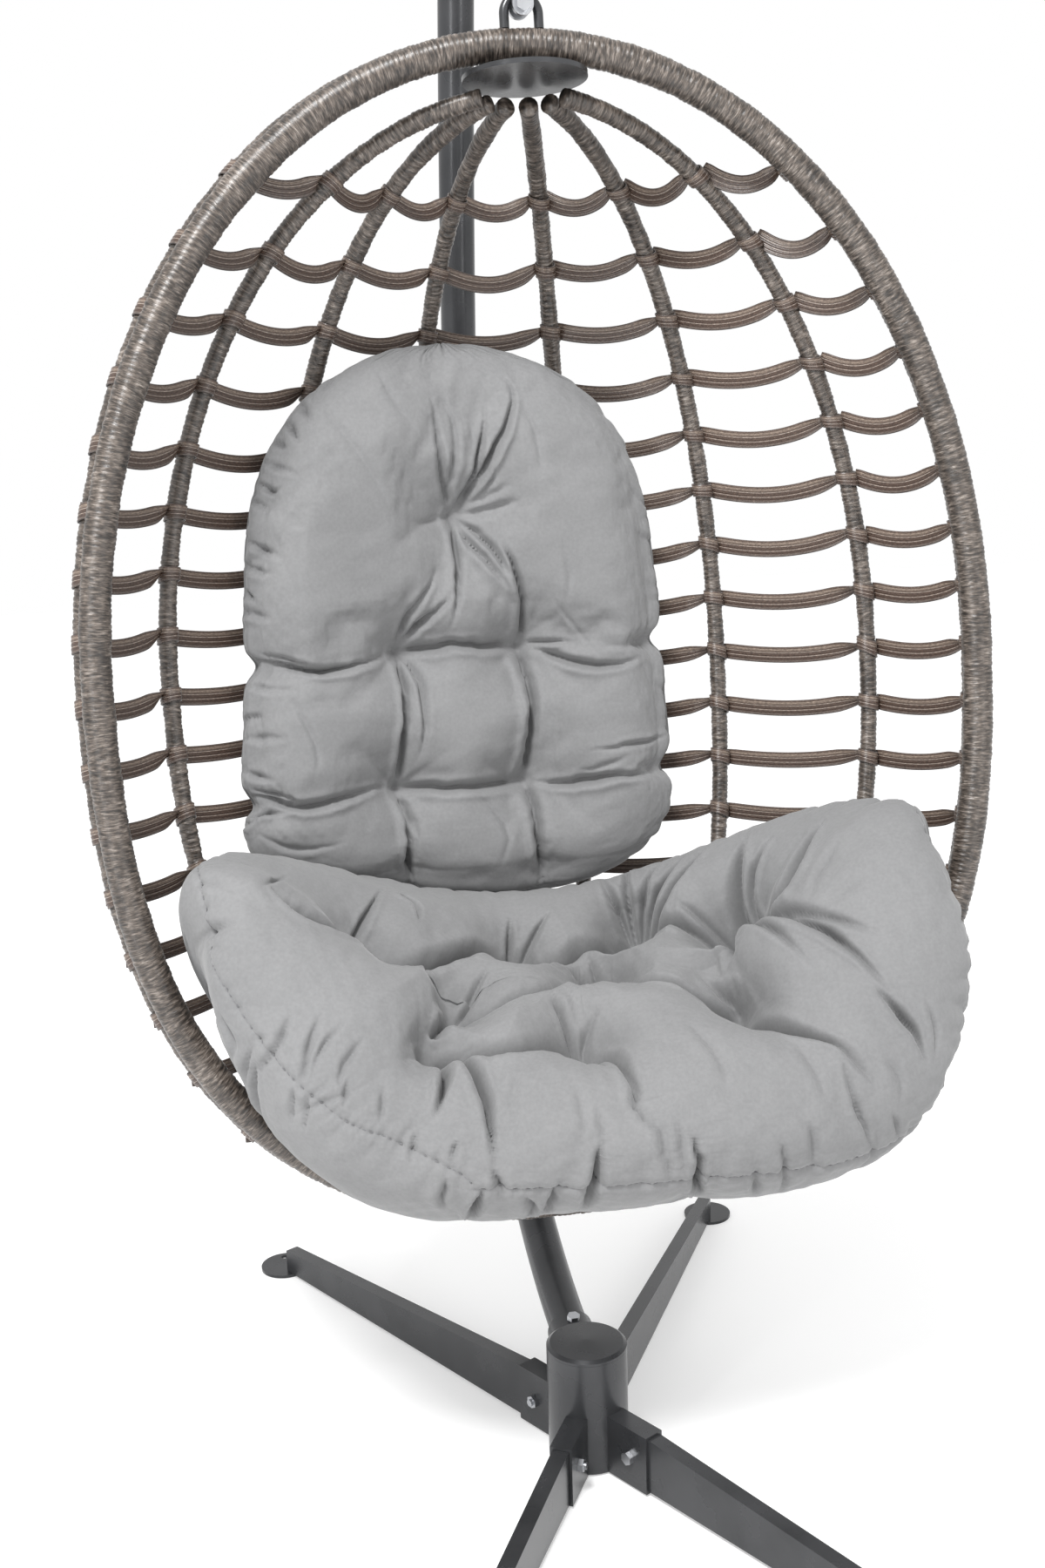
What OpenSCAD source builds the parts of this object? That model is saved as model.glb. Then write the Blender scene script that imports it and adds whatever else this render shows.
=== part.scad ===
// Hanging egg chair: an oval basket of wrapped tubes and flat straps, with a tufted
// cushion, hung by a spring and a swivel from a C-shaped pole on a four-legged base.
// Millimetres, +Z up, the front of the chair towards -Y. The origin is on the floor,
// under the middle of the object's outer box.

/* [Pole] */
// Clear height between the hub's cap and the basket's lowest rim at rest
basket_clear = 132; // [120:1:160]
// Outer diameter of the pole tube
pole_d = 45; // [42:0.5:48]
// Wall of the pole tube
pole_wall = 2; // [1.5:0.1:2.5]
// Distance of the pole's middle behind the hanging axis
pole_reach = 490; // [480:1:505]
// Bend radius of the crook at the top
crook_r = 300; // [285:1:315]
// Forward lean of the pole where the crook begins, in degrees
crook_lean = 14; // [12:0.5:16]
// How far the pole's end reaches past the hook
crook_tail = 40; // [34:1:56]
// Length of each spigot that joins two pieces of the pole
spigot_l = 90; // [70:1:110]
// Height of the pole's centre line where it enters the base
pole_z = 101; // [100:1:106]

/* [Base] */
// Distance of the base hub in front of the hanging axis
hub_y = 150; // [140:1:165]
// Outer diameter of the hub drum
hub_d = 90; // [86:1:100]
// Height of the hub drum's top above the floor
hub_h = 134; // [132:1:160]
// Wall of the hub drum
hub_wall = 4; // [3:0.5:5]
// Distance from the hub's axis to the middle of a foot disc
leg_reach = 610; // [580:1:640]
// Angle between a leg and the front-to-rear line, in degrees
leg_spread = 30; // [28:1:34]
// Width of a leg across its top
leg_w = 18; // [16:0.5:22]
// Height of a leg at the hub
leg_root_h = 62; // [54:1:63]
// Height of a leg at its outer end
leg_tip_h = 30; // [24:1:36]
// Sheet thickness of a leg
leg_wall = 2; // [1.5:0.1:3]
// Diameter of a foot disc
foot_d = 66; // [60:1:76]
// Thickness of a foot disc
foot_t = 4; // [3:0.5:6]
// Diameter of the anchor hole in a foot disc
anchor_d = 9; // [6:0.5:10]
// Distance of the anchor hole from the disc's middle
anchor_off = 22; // [20:0.5:24]

/* [Hanging gear] */
// Diameter of the two hinge bolts of the hanger
hinge_d = 12; // [10:0.5:13]
// Thickness of the eye plate under the pole and of the shackle's tab
eye_t = 8; // [6:0.5:10]
// Diameter of the spring wire
wire_d = 7; // [6:0.5:7.5]
// Outer diameter of the spring
spring_d = 45; // [42:1:48]
// Length of the spring with the basket on it
spring_len = 150; // [140:1:160]
// Turns of the spring
spring_turns = 13; // [11:1:14]
// Thickness of the two spring caps
cap_t = 8; // [6:0.5:10]
// Diameter of the bolt through the basket's loop
loop_pin_d = 10; // [8:0.5:10]

/* [Basket] */
// Half width of the basket at the front rim's centre line
rim_w = 480; // [470:1:490]
// Height of the rim's top above the basket's reference level
rim_top = 580; // [570:1:590]
// Depth of the rim's bottom below the reference level
rim_bottom = 645; // [635:1:655]
// Depth of the widest level below the reference level
rim_wide = 67; // [60:1:75]
// Diameter of the wrapped front rim
rim_d = 33; // [30:0.5:34]
// Diameter of the wrapped rear rim
rear_d = 27; // [24:0.5:28]
// Distance of the rear rim behind the front rim, centre to centre
rear_back = 31; // [31:0.5:36]
// How much wider the rear rim is than the front rim, on each side
rear_out = 10; // [8:1:14]
// Diameter of a wrapped rib
rib_d = 20; // [18:0.5:21]
// Depth of the bowl behind the rim, as a share of its half width
bowl_depth = 0.82; // [0.8:0.01:0.84]
// How far the ribs' ends stay inside the rim's top and bottom
rib_drop = 45; // [44:1:52]
// Backward tilt of the hanging basket, in degrees
basket_tilt = 5.8; // [4:0.1:7]
// Sideways lean of the hanging basket's top towards the left, in degrees
basket_lean = 0.55; // [0:0.05:2]
// Diameter of the two plates that gather the ribs
plate_d = 130; // [120:1:140]
// Thickness of those plates
plate_t = 5; // [4:0.5:6]

/* [Straps] */
// Height of a flat strap
strap_h = 20; // [17:0.5:22]
// Thickness of a flat strap
strap_t = 2.4; // [2:0.1:3]
// Distance between neighbouring straps
strap_pitch = 66; // [64:0.5:67]
// Level of the lowest strap below the reference level
strap_low = 528; // [520:1:534]
// Sag of the highest strap between two ribs
sag_top = 17; // [10:1:20]
// Sag of the lowest strap between two ribs
sag_low = 3; // [2:0.5:6]
// Wall of the wrap that a strap makes round a rib
wrap_t = 1.8; // [1.5:0.1:2.2]

/* [Cushions] */
// Half of the seat pad's thickness at its crown
seat_half = 100; // [96:1:101]
// Half width of the seat pad's middle surface
seat_rx = 398; // [390:1:400]
// Reach of the seat pad's middle surface behind the rim
seat_back = 246; // [240:1:248]
// Reach of the seat pad's middle surface in front of the rim
seat_front = 190; // [175:1:200]
// Rise of the seat pad at its sides
seat_rise = 250; // [240:1:254]
// Half of the back pad's thickness at its crown
back_half = 58; // [52:1:60]
// Half width of the back pad
back_rx = 252; // [240:1:256]
// Level of the back pad's top above the reference level
back_top = 305; // [290:1:310]
// Shift of the back pad to the left of the basket's middle
back_shift = 68; // [60:1:72]

/* [Hidden] */

// Colours
metal = [0.16, 0.16, 0.17];
zinc = [0.62, 0.63, 0.65];
wicker = [0.45, 0.40, 0.37];
wicker_dark = [0.38, 0.31, 0.28];
grey_cloth = [0.62, 0.62, 0.63];

// Gaps: between pieces that are only seated, between flat and curved faces, and
// the radial play of a bolt that turns in its bore
seat_gap = 0.3;
slide_gap = 0.4;
bore_play = 0.08;
hole_play = 0.4;
bolt_d = 8;
head_r = 7.5;
head_t = 5.5;
nut_r = 7.5;
nut_t = 6.5;

// Base
pole_r = pole_d / 2;
hub_cap_h = 8;
hub_r = hub_d / 2;
hub_foot = 2.5;
sleeve_foot = 3.2;
sleeve_wall = 3;
sleeve_end = hub_r + 58;
leg_z = 6;
leg_start = hub_r + 3;
leg_taper = sleeve_end + 4;
leg_end = leg_reach - 18;
foot_gap = foot_t + seat_gap;
leg_bolt_x = hub_r + 32;

// Basket frame: x to the right, y to the back, z along the tilted basket
upper_h = rim_top + rim_wide;
lower_h = rim_bottom - rim_wide;
n_up = 2.05;
n_low = 2.5;
rear_r = rear_d / 2;
rim_r = rim_d / 2;
rib_r = rib_d / 2;
loop_rod = 10;
loop_pin_r = loop_pin_d / 2;
loop_arch = 18;
loop_foot = rim_top + rim_r - 0.3;
loop_w = rim_top + rim_r + 14;
loop_pin_w = loop_w + loop_arch - loop_rod / 2 - loop_pin_r - seat_gap;

// Hanging gear, from the pole downwards, hung so that the basket clears the hub
eye_drop = 26;
hinge_r = hinge_d / 2;
cheek_t = 6;
cheek_r = 13;
yoke_top = 22;
yoke_low = 34;
cheek_x = eye_t / 2 + slide_gap;
house_top = 20;
house_low = 58;
house_floor = 52;
house_r = 18;
house_in = 13;
bearing_t = 4;
cap_r = spring_d / 2 + 1;
cross_drop = 52;
cap_drop = 4;
clevis_drop = 30;
hang_len = cross_drop + house_low + cap_drop + 2 * (cap_t + seat_gap) + spring_len + clevis_drop
    + loop_pin_w * cos(basket_lean) * cos(basket_tilt);
basket_low = (rim_bottom + rear_out + rear_r) * cos(basket_tilt) + rear_back * sin(basket_tilt);
eye_z = hub_h + hub_cap_h + basket_clear + basket_low + hang_len;
under_z = eye_z + eye_drop;
cross_z = eye_z - cross_drop;
spring_cap_z = cross_z - house_low - cap_drop;
spring_top = spring_cap_z - cap_t - seat_gap;
spring_bottom = spring_top - spring_len;
clevis_top = spring_bottom - seat_gap;
pin_z = clevis_top - cap_t - clevis_drop;
basket_x = loop_pin_w * sin(basket_lean);
basket_y = -loop_pin_w * cos(basket_lean) * sin(basket_tilt);
basket_z = pin_z - loop_pin_w * cos(basket_lean) * cos(basket_tilt);

// Pole: lower sweep, long middle bend and crook, each one arc in the plane x = 0
low_r = pole_reach + hub_y;
low_z = pole_z + low_r;
// the crook's centre is placed so that the crook passes hook_z straight above the
// hanging axis and meets the middle bend, which gives an equation of the second degree
hook_z = under_z + pole_r;
bend_rise = tan(crook_lean / 2);
bend_back = pole_reach - crook_r * cos(crook_lean) - bend_rise * (crook_r * sin(crook_lean) - low_z);
top_q = 1 + bend_rise * bend_rise;
top_p = hook_z + bend_back * bend_rise;
top_cz = (top_p - sqrt(top_p * top_p - top_q * (hook_z * hook_z + bend_back * bend_back - crook_r * crook_r))) / top_q;
crook_z = top_cz + crook_r * sin(crook_lean);
mid_r = (crook_z - low_z) / sin(crook_lean);
crook_y = pole_reach - mid_r * (1 - cos(crook_lean));
top_cy = crook_y - crook_r * cos(crook_lean);
crook_end = acos(-top_cy / crook_r) + crook_tail / crook_r * 180 / PI;
stand_h = top_cz + crook_r + pole_r;
spigot_low = spigot_l / mid_r * 180 / PI;
spigot_top = spigot_l / crook_r * 180 / PI;
spigot_r = pole_r - pole_wall - seat_gap;
socket_a = 85 / low_r * 180 / PI;
socket_r = pole_r + 4;
stub_a = 12 / low_r * 180 / PI;

// Origin: the middle of the outer box lies at y = 0
box_front = -hub_y - leg_reach * cos(leg_spread) - foot_d / 2;
box_rear = pole_reach + pole_r;
shift_y = -(box_front + box_rear) / 2;

// Ribs: share of the half width at which each one stands, from left to right
rib_share = [-0.85, -0.55, -0.205, 0.205, 0.55, 0.85];
bowl_n = 1.5;
function rib_depth(k) = bowl_depth * pow(1 - pow(abs(rib_share[k]), bowl_n), 1 / bowl_n);
function rib_turn(k) = atan2(rib_depth(k), rib_share[k]);
function rib_far(k) = sqrt(pow(rib_share[k], 2) + pow(rib_depth(k), 2));
rib_start = plate_d / 2 - 19;
rib_up = upper_h - rib_drop;
rib_down = lower_h - rib_drop;

// Half width of an oval at a level, and its slope against the level
function oval(level, width, up, down) = let (u = level + rim_wide)
    u >= 0 ? width * pow(max(0, 1 - pow(u / up, n_up)), 1 / n_up)
           : width * pow(max(0, 1 - pow(-u / down, n_low)), 1 / n_low);
function front_at(level) = oval(level, rim_w, upper_h, lower_h);
function rear_at(level) = oval(level, rim_w + rear_out, upper_h + rear_out, lower_h + rear_out);
function rib_at(k, level) = rib_far(k) * oval(level, rim_w, rib_up, rib_down);

// Straps
strap_n = 16;
strap_steps = 8;
wrap_h = strap_h + 3;
wrap_gap = 0.6;
function strap_level(i) = -strap_low + (strap_n - i) * strap_pitch;
function strap_sag(i) = sag_top + (sag_low - sag_top) * (i - 1) / (strap_n - 1);

// ---------------------------------------------------------------- helpers

module stand() translate([0, shift_y, 0]) children();

module basket() stand() translate([basket_x, basket_y, basket_z])
    rotate([-basket_tilt, 0, 0]) rotate([0, -basket_lean, 0]) children();

// Tube or rod bent to an arc in the plane x = 0, angles from +Y towards +Z
module arc_tube(cy, cz, bend, from, to, outer, inner = 0)
    translate([0, cy, cz])
        rotate([90, 0, 90])
            rotate([0, 0, from])
                rotate_extrude(angle = to - from, $fn = 180)
                    translate([bend, 0])
                        difference() {
                            circle(outer, $fn = 48);
                            if (inner > 0) circle(inner, $fn = 48);
                        }

module low_arc(from, to, outer, inner = 0) arc_tube(-hub_y, low_z, low_r, from, to, outer, inner);
module mid_arc(from, to, outer, inner = 0)
    arc_tube(pole_reach - mid_r, low_z, mid_r, from, to, outer, inner);
module top_arc(from, to, outer, inner = 0)
    arc_tube(top_cy, top_cz, crook_r, from, to, outer, inner);

// Rod along X or along Y, centred on the axis
module rod_x(r, from, to) translate([from, 0, 0]) rotate([0, 90, 0]) cylinder(r = r, h = to - from, $fn = 48);
module rod_y(r, from, to) translate([0, from, 0]) rotate([-90, 0, 0]) cylinder(r = r, h = to - from, $fn = 48);

// Bolt with a hexagon head at -X and its nut at +X, over the grip from -g to g
module bolt_x(r, g, head, tall) {
    union() {
        rod_x(r, -g, g + tall + 3);
        translate([-g - tall, 0, 0]) rotate([0, 90, 0]) cylinder(r = head, h = tall, $fn = 6);
    }
    difference() {
        translate([g, 0, 0]) rotate([0, 90, 0]) cylinder(r = head, h = tall, $fn = 6);
        rod_x(r + bore_play, g - 1, g + tall + 1);
    }
}

// Tube swept along points that lie in one plane, with the plane's normal given
function unit(v) = v / norm(v);
function tangent(p, i, closed) = let (n = len(p))
    closed ? unit(p[(i + 1) % n] - p[(i + n - 1) % n])
           : unit(p[min(n - 1, i + 1)] - p[max(0, i - 1)]);
module sweep(p, r, sides, normal, closed) {
    n = len(p);
    turns = closed ? n : n - 1;
    points = [for (i = [0:n - 1])
        let (t = tangent(p, i, closed), side = unit(cross(normal, t)))
            for (j = [0:sides - 1])
                p[i] + r * cos(360 * j / sides) * side + r * sin(360 * j / sides) * normal];
    walls = [for (i = [0:turns - 1]) for (j = [0:sides - 1])
        let (a = i * sides + j, b = i * sides + (j + 1) % sides,
             c = ((i + 1) % n) * sides + (j + 1) % sides, d = ((i + 1) % n) * sides + j)
            each [[a, c, b], [a, d, c]]];
    caps = closed ? [] : [for (j = [1:sides - 2])
        each [[0, j, j + 1], [(n - 1) * sides, (n - 1) * sides + j + 1, (n - 1) * sides + j]]];
    polyhedron(points, concat(walls, caps), convexity = 6);
}

// ---------------------------------------------------------------- base

module at_leg(side, front) stand() translate([0, -hub_y, 0])
    rotate([0, 0, front ? -90 + side * leg_spread : 90 - side * leg_spread]) children();

module leg_sleeve(turn) rotate([0, 0, turn])
    translate([0, -leg_w / 2 - sleeve_wall - seat_gap, sleeve_foot])
        cube([sleeve_end, leg_w + 2 * (sleeve_wall + seat_gap), leg_z + leg_root_h + sleeve_wall - sleeve_foot]);

module leg_slot(turn) rotate([0, 0, turn]) {
    translate([leg_start - 1, -leg_w / 2 - seat_gap, leg_z - seat_gap])
        cube([sleeve_end, leg_w + 2 * seat_gap, leg_root_h + 2 * seat_gap]);
    translate([leg_bolt_x, 0, leg_z + leg_root_h / 2])
        rod_y(bolt_d / 2 + hole_play, -leg_w, leg_w);
}

leg_turns = [90 - leg_spread, 90 + leg_spread, -90 - leg_spread, -90 + leg_spread];

// Place on the pole's centre line inside the hub's rear socket, -Z pointing up out
// of the pole
module at_socket() translate([0, -hub_y, low_z]) rotate([(hub_r + 22) / low_r * 180 / PI, 0, 0])
    translate([0, 0, -low_r]) rotate([180, 0, 0]) children();

module base_hub() color(metal) stand() difference() {
    union() {
        translate([0, -hub_y, hub_foot]) cylinder(r = hub_r, h = hub_h - hub_foot, $fn = 96);
        translate([0, -hub_y, 0]) for (t = leg_turns) leg_sleeve(t);
        low_arc(-90, -90 + socket_a, socket_r);
    }
    translate([0, -hub_y, hub_foot + hub_wall])
        cylinder(r = hub_r - hub_wall, h = hub_h, $fn = 96);
    translate([0, -hub_y, 0]) for (t = leg_turns) leg_slot(t);
    low_arc(-90 - stub_a, -90 + socket_a + 1, pole_r + seat_gap);
    at_socket() translate([0, 0, -60]) cylinder(r = bolt_d / 2 + hole_play, h = 60, $fn = 32);
}

module hub_cap() color(metal) stand() translate([0, -hub_y, hub_h]) rotate_extrude($fn = 96)
    polygon([[0, -6], [hub_r - hub_wall - seat_gap, -6], [hub_r - hub_wall - seat_gap, 0.2],
        [hub_r, 0.2], [hub_r, 3], [hub_r - 4, 6], [0, hub_cap_h]]);

module leg_profile(wall) polygon([[leg_start - wall, leg_z + wall], [leg_taper, leg_z + wall],
    [leg_end + wall, foot_gap + wall], [leg_end + wall, foot_gap + leg_tip_h - wall],
    [leg_taper, leg_z + leg_root_h - wall], [leg_start - wall, leg_z + leg_root_h - wall]]);

module leg(side, front) color(metal) at_leg(side, front) difference() {
    translate([0, leg_w / 2, 0]) rotate([90, 0, 0]) linear_extrude(leg_w) leg_profile(0);
    translate([0, leg_w / 2 - leg_wall, 0]) rotate([90, 0, 0])
        linear_extrude(leg_w - 2 * leg_wall) leg_profile(leg_wall);
    translate([leg_bolt_x, 0, leg_z + leg_root_h / 2])
        rod_y(bolt_d / 2 + hole_play, -leg_w, leg_w);
}

module foot_disc(side, front) color(metal) at_leg(side, front) difference() {
    translate([leg_reach, 0, 0]) cylinder(d = foot_d, h = foot_t, $fn = 72);
    translate([leg_reach + anchor_off * cos(leg_spread), anchor_off * sin(leg_spread) * side * (front ? -1 : 1), -1])
        cylinder(d = anchor_d, h = foot_t + 2, $fn = 32);
}

module leg_bolts() color(zinc) for (s = [-1, 1]) for (front = [true, false])
    at_leg(s, front) translate([leg_bolt_x, 0, leg_z + leg_root_h / 2]) rotate([0, 0, 90])
        bolt_x(bolt_d / 2, leg_w / 2 + seat_gap + sleeve_wall, head_r, head_t);

// ---------------------------------------------------------------- pole

module cross_hole() rod_x(bolt_d / 2 + hole_play, -pole_d, pole_d);
module at_low_joint() translate([0, pole_reach - mid_r, low_z]) rotate([spigot_low / 2, 0, 0])
    translate([0, mid_r, 0]) children();
module at_top_joint() translate([0, top_cy, top_cz]) rotate([crook_lean + spigot_top / 2, 0, 0])
    translate([0, crook_r, 0]) children();

// Ring inside the end of a tube, from which the spigot stands out
module spigot_ring() translate([0, 0, -8]) difference() {
    cylinder(r = pole_r - 1, h = 8, $fn = 48);
    translate([0, 0, -1]) cylinder(r = spigot_r - pole_wall - 2, h = 10, $fn = 48);
}

module pole_lower() color(metal) stand() difference() {
    union() {
        low_arc(-90 - stub_a + 0.1, 0, pole_r, pole_r - pole_wall);
        translate([0, pole_reach, low_z]) spigot_ring();
        mid_arc(-0.03, spigot_low, spigot_r, spigot_r - pole_wall);
    }
    at_low_joint() cross_hole();
    at_socket() translate([0, 0, -60]) cylinder(r = bolt_d / 2 + hole_play, h = 60, $fn = 32);
}

module pole_middle() color(metal) stand() difference() {
    union() {
        mid_arc(0, crook_lean, pole_r, pole_r - pole_wall);
        translate([0, top_cy, top_cz]) rotate([crook_lean, 0, 0]) translate([0, crook_r, 0]) spigot_ring();
        top_arc(crook_lean - 0.6, crook_lean + spigot_top, spigot_r, spigot_r - pole_wall);
    }
    at_low_joint() cross_hole();
    at_top_joint() cross_hole();
}

module pole_upper() color(metal) stand() difference() {
    top_arc(crook_lean, crook_end, pole_r, pole_r - pole_wall);
    at_top_joint() cross_hole();
}

module pole_bolts() color(zinc) stand() {
    at_low_joint() bolt_x(bolt_d / 2, pole_r + seat_gap, head_r, head_t);
    at_top_joint() bolt_x(bolt_d / 2, pole_r + seat_gap, head_r, head_t);
    at_socket() {
        translate([0, 0, -socket_r - seat_gap - head_t]) cylinder(r = head_r, h = head_t, $fn = 6);
        translate([0, 0, -socket_r - seat_gap - 0.5]) cylinder(r = bolt_d / 2, h = socket_r - pole_r + 9, $fn = 32);
    }
}

module pole_end_cap() color(metal) stand() translate([0, top_cy, top_cz]) rotate([crook_end, 0, 0])
    translate([0, crook_r, 0]) {
        cylinder(r1 = pole_r, r2 = pole_r - 3, h = 5, $fn = 48);
        translate([0, 0, -12]) cylinder(r = pole_r - pole_wall - seat_gap, h = 12.5, $fn = 48);
    }

// ---------------------------------------------------------------- hanging gear

module hook_eye() color(metal) stand() difference() {
    union() {
        translate([0, 0, eye_z]) rod_x(16, -eye_t / 2, eye_t / 2);
        translate([-eye_t / 2, -16, eye_z]) cube([eye_t, 32, eye_drop + pole_r]);
    }
    top_arc(crook_lean, crook_end + 5, pole_r + seat_gap);
    translate([0, 0, eye_z]) rod_x(hinge_r + bore_play, -eye_t, eye_t);
}

// Two cheeks beside an eye at the local origin, joined by a block below
module yoke(reach, low) difference() {
    union() {
        for (s = [-1, 1]) translate([s * (cheek_x + cheek_t / 2), 0, 0]) {
            rod_x(cheek_r, -cheek_t / 2, cheek_t / 2);
            translate([-cheek_t / 2, -cheek_r, -low]) cube([cheek_t, 2 * cheek_r, low]);
        }
        translate([-cheek_x - cheek_t, -cheek_r, -low])
            cube([2 * (cheek_x + cheek_t), 2 * cheek_r, low - reach]);
    }
    rod_x(hinge_r + bore_play, -2 * cheek_r, 2 * cheek_r);
}

module shackle() color(metal) stand() difference() {
    union() {
        translate([0, 0, eye_z]) yoke(yoke_top, yoke_low);
        translate([0, 0, cross_z]) rod_y(12, -eye_t / 2, eye_t / 2);
        translate([-12, -eye_t / 2, cross_z]) cube([24, eye_t, eye_z - yoke_low - cross_z + 1]);
    }
    translate([0, 0, cross_z]) rod_y(hinge_r + bore_play, -eye_t, eye_t);
}

module shackle_bolt() color(zinc) stand() translate([0, 0, eye_z])
    bolt_x(hinge_r, cheek_x + cheek_t, hinge_r * 1.6, 7);

module swivel_head() color(metal) stand() translate([0, 0, cross_z]) difference() {
    union() {
        rotate([0, 0, 90]) yoke(house_top, house_top + 4);
        translate([0, 0, -house_low]) cylinder(r = house_r, h = house_low - house_top, $fn = 64);
    }
    translate([0, 0, -house_floor]) cylinder(r = house_in, h = house_floor - 26, $fn = 64);
    translate([0, 0, -house_low - 1]) cylinder(r = hinge_r + bore_play, h = 10, $fn = 48);
}

module swivel_bolt() color(zinc) stand() translate([0, 0, cross_z]) rotate([0, 0, 90])
    bolt_x(hinge_r, cheek_x + cheek_t, hinge_r * 1.6, 7);

module swivel_bearing() color(zinc) stand() translate([0, 0, cross_z - house_floor]) difference() {
    cylinder(r = house_in - seat_gap, h = bearing_t, $fn = 64);
    translate([0, 0, -1]) cylinder(r = hinge_r + 0.5, h = bearing_t + 2, $fn = 48);
}

module swivel_spindle() color(zinc) stand() {
    collar_z = cross_z - house_floor + bearing_t + 0.2;
    union() {
        translate([0, 0, collar_z]) cylinder(r = house_in - 2, h = 8, $fn = 48);
        translate([0, 0, spring_cap_z - 1]) cylinder(r = hinge_r, h = collar_z - spring_cap_z + 2, $fn = 48);
        translate([0, 0, spring_cap_z - cap_t]) cylinder(r = cap_r, h = cap_t, $fn = 64);
    }
}

// Spring: one round wire wound on a helix, its end turns lying against the caps
wire_r = wire_d / 2;
coil_r = spring_d / 2 - wire_r;
coil_low = spring_bottom + wire_r * cos(30);
coil_rise = spring_len - 2 * wire_r * cos(30);
coil_steps = spring_turns * 8;
function coil_point(i) = [coil_r * cos(45 * i), coil_r * sin(45 * i), coil_low + coil_rise * i / coil_steps];
coil_gap = coil_rise / spring_turns * cos(atan(coil_rise / spring_turns / (2 * PI * coil_r))) - wire_d;
echo(spring_least_gap = min([for (i = [0:7]) for (k = [6:10])
    norm(coil_point(i + k) - coil_point(i)) - wire_d]), coil_gap = coil_gap);

module hanging_spring() color(zinc) stand() {
    points = [for (i = [0:coil_steps])
        let (t = unit(coil_point(i + 1) - coil_point(i - 1)), out = [cos(45 * i), sin(45 * i), 0],
             up = cross(t, out))
            for (j = [0:5]) coil_point(i) + wire_r * cos(60 * j) * out - wire_r * sin(60 * j) * up];
    walls = [for (i = [0:coil_steps - 1]) for (j = [0:5])
        let (a = i * 6 + j, b = i * 6 + (j + 1) % 6, c = b + 6, d = a + 6)
            each [[a, b, c], [a, c, d]]];
    last = coil_steps * 6;
    caps = [for (j = [1:4]) each [[0, j + 1, j], [last, last + j, last + j + 1]]];
    polyhedron(points, concat(walls, caps), convexity = 10);
}

clevis_gap = loop_rod / 2 + 2.4;
module basket_clevis() color(zinc) stand() translate([0, 0, pin_z]) rotate([0, 0, 90]) difference() {
    union() {
        translate([0, 0, clevis_top - cap_t - pin_z]) cylinder(r = cap_r, h = cap_t, $fn = 64);
        for (s = [-1, 1]) translate([s * (clevis_gap + cheek_t / 2), 0, 0]) {
            rod_x(11, -cheek_t / 2, cheek_t / 2);
            translate([-cheek_t / 2, -11, 0]) cube([cheek_t, 22, clevis_top - cap_t - pin_z + 1]);
        }
    }
    rod_x(loop_pin_r + bore_play, -40, 40);
}

module basket_bolt() color(zinc) stand() translate([0, 0, pin_z]) rotate([0, 0, 90])
    bolt_x(loop_pin_r, clevis_gap + cheek_t, loop_pin_r * 1.7, 6.5);

// ---------------------------------------------------------------- basket frame

module basket_loop() color(metal) basket() union() {
    for (side = [-1, 1]) translate([side * loop_arch, 0, loop_foot])
        cylinder(d = loop_rod, h = loop_w - loop_foot, $fn = 32);
    rotate([0, 0, 90]) arc_tube(0, loop_w, loop_arch, 0, 180, loop_rod / 2);
}

function oval_loop(width, up, down, back, n) = [for (i = [0:n - 1])
    let (a = 360 * i / n, c = cos(a), s = sin(a), e = 2 / (s >= 0 ? n_up : n_low))
        [width * sign(c) * pow(abs(c), e), back, -rim_wide + (s >= 0 ? up : -down) * pow(abs(s), e)]];

module rim_front() color(wicker) basket()
    sweep(oval_loop(rim_w, upper_h, lower_h, 0, 80), rim_r, 10, [0, -1, 0], true);

module rim_rear() color(wicker) basket()
    sweep(oval_loop(rim_w + rear_out, upper_h + rear_out, lower_h + rear_out, rear_back, 80),
        rear_r, 10, [0, -1, 0], true);

// A rib runs in an upright half plane from the top plate to the bottom plate
rib_steps = 40;
function rib_angle(k, h, n) = acos(pow(rib_start / rib_far(k) / rim_w, n / 2));
module rib(k) color(wicker) basket() {
    turn = rib_turn(k);
    top = rib_angle(k, rib_up, n_up);
    low = rib_angle(k, rib_down, n_low);
    path = [for (i = [0:rib_steps])
        let (a = top - (top + low) * i / rib_steps, e = 2 / (a >= 0 ? n_up : n_low),
             out = rib_far(k) * rim_w * pow(cos(a), e))
            [out * cos(turn), out * sin(turn),
             -rim_wide + (a >= 0 ? rib_up : -rib_down) * pow(abs(sin(a)), e)]];
    sweep(path, rib_r, 8, [-sin(turn), cos(turn), 0], false);
}

module gather_plate(level, up) {
    seat = rib_r + seat_gap;
    rim_level = up ? rim_top - rim_r : rim_bottom - rim_r;
    rear_level = up ? rim_top + rear_out - rear_r : rim_bottom + rear_out - rear_r;
    mirror([0, 0, up ? 0 : 1]) {
        translate([0, 0, level + seat]) cylinder(d = plate_d, h = plate_t, $fn = 72);
        translate([0, 0, level + seat + 1]) cylinder(r = 9, h = rim_level - seat_gap - level - seat - 1, $fn = 32);
        translate([0, rear_back, level + seat + 1])
            cylinder(r = 9, h = rear_level - seat_gap - level - seat - 1, $fn = 32);
    }
}

module top_plate() color(metal) basket() gather_plate(rim_top - rib_drop, true);
module bottom_plate() color(metal) basket() gather_plate(rim_bottom - rib_drop, false);

// ---------------------------------------------------------------- straps

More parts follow.
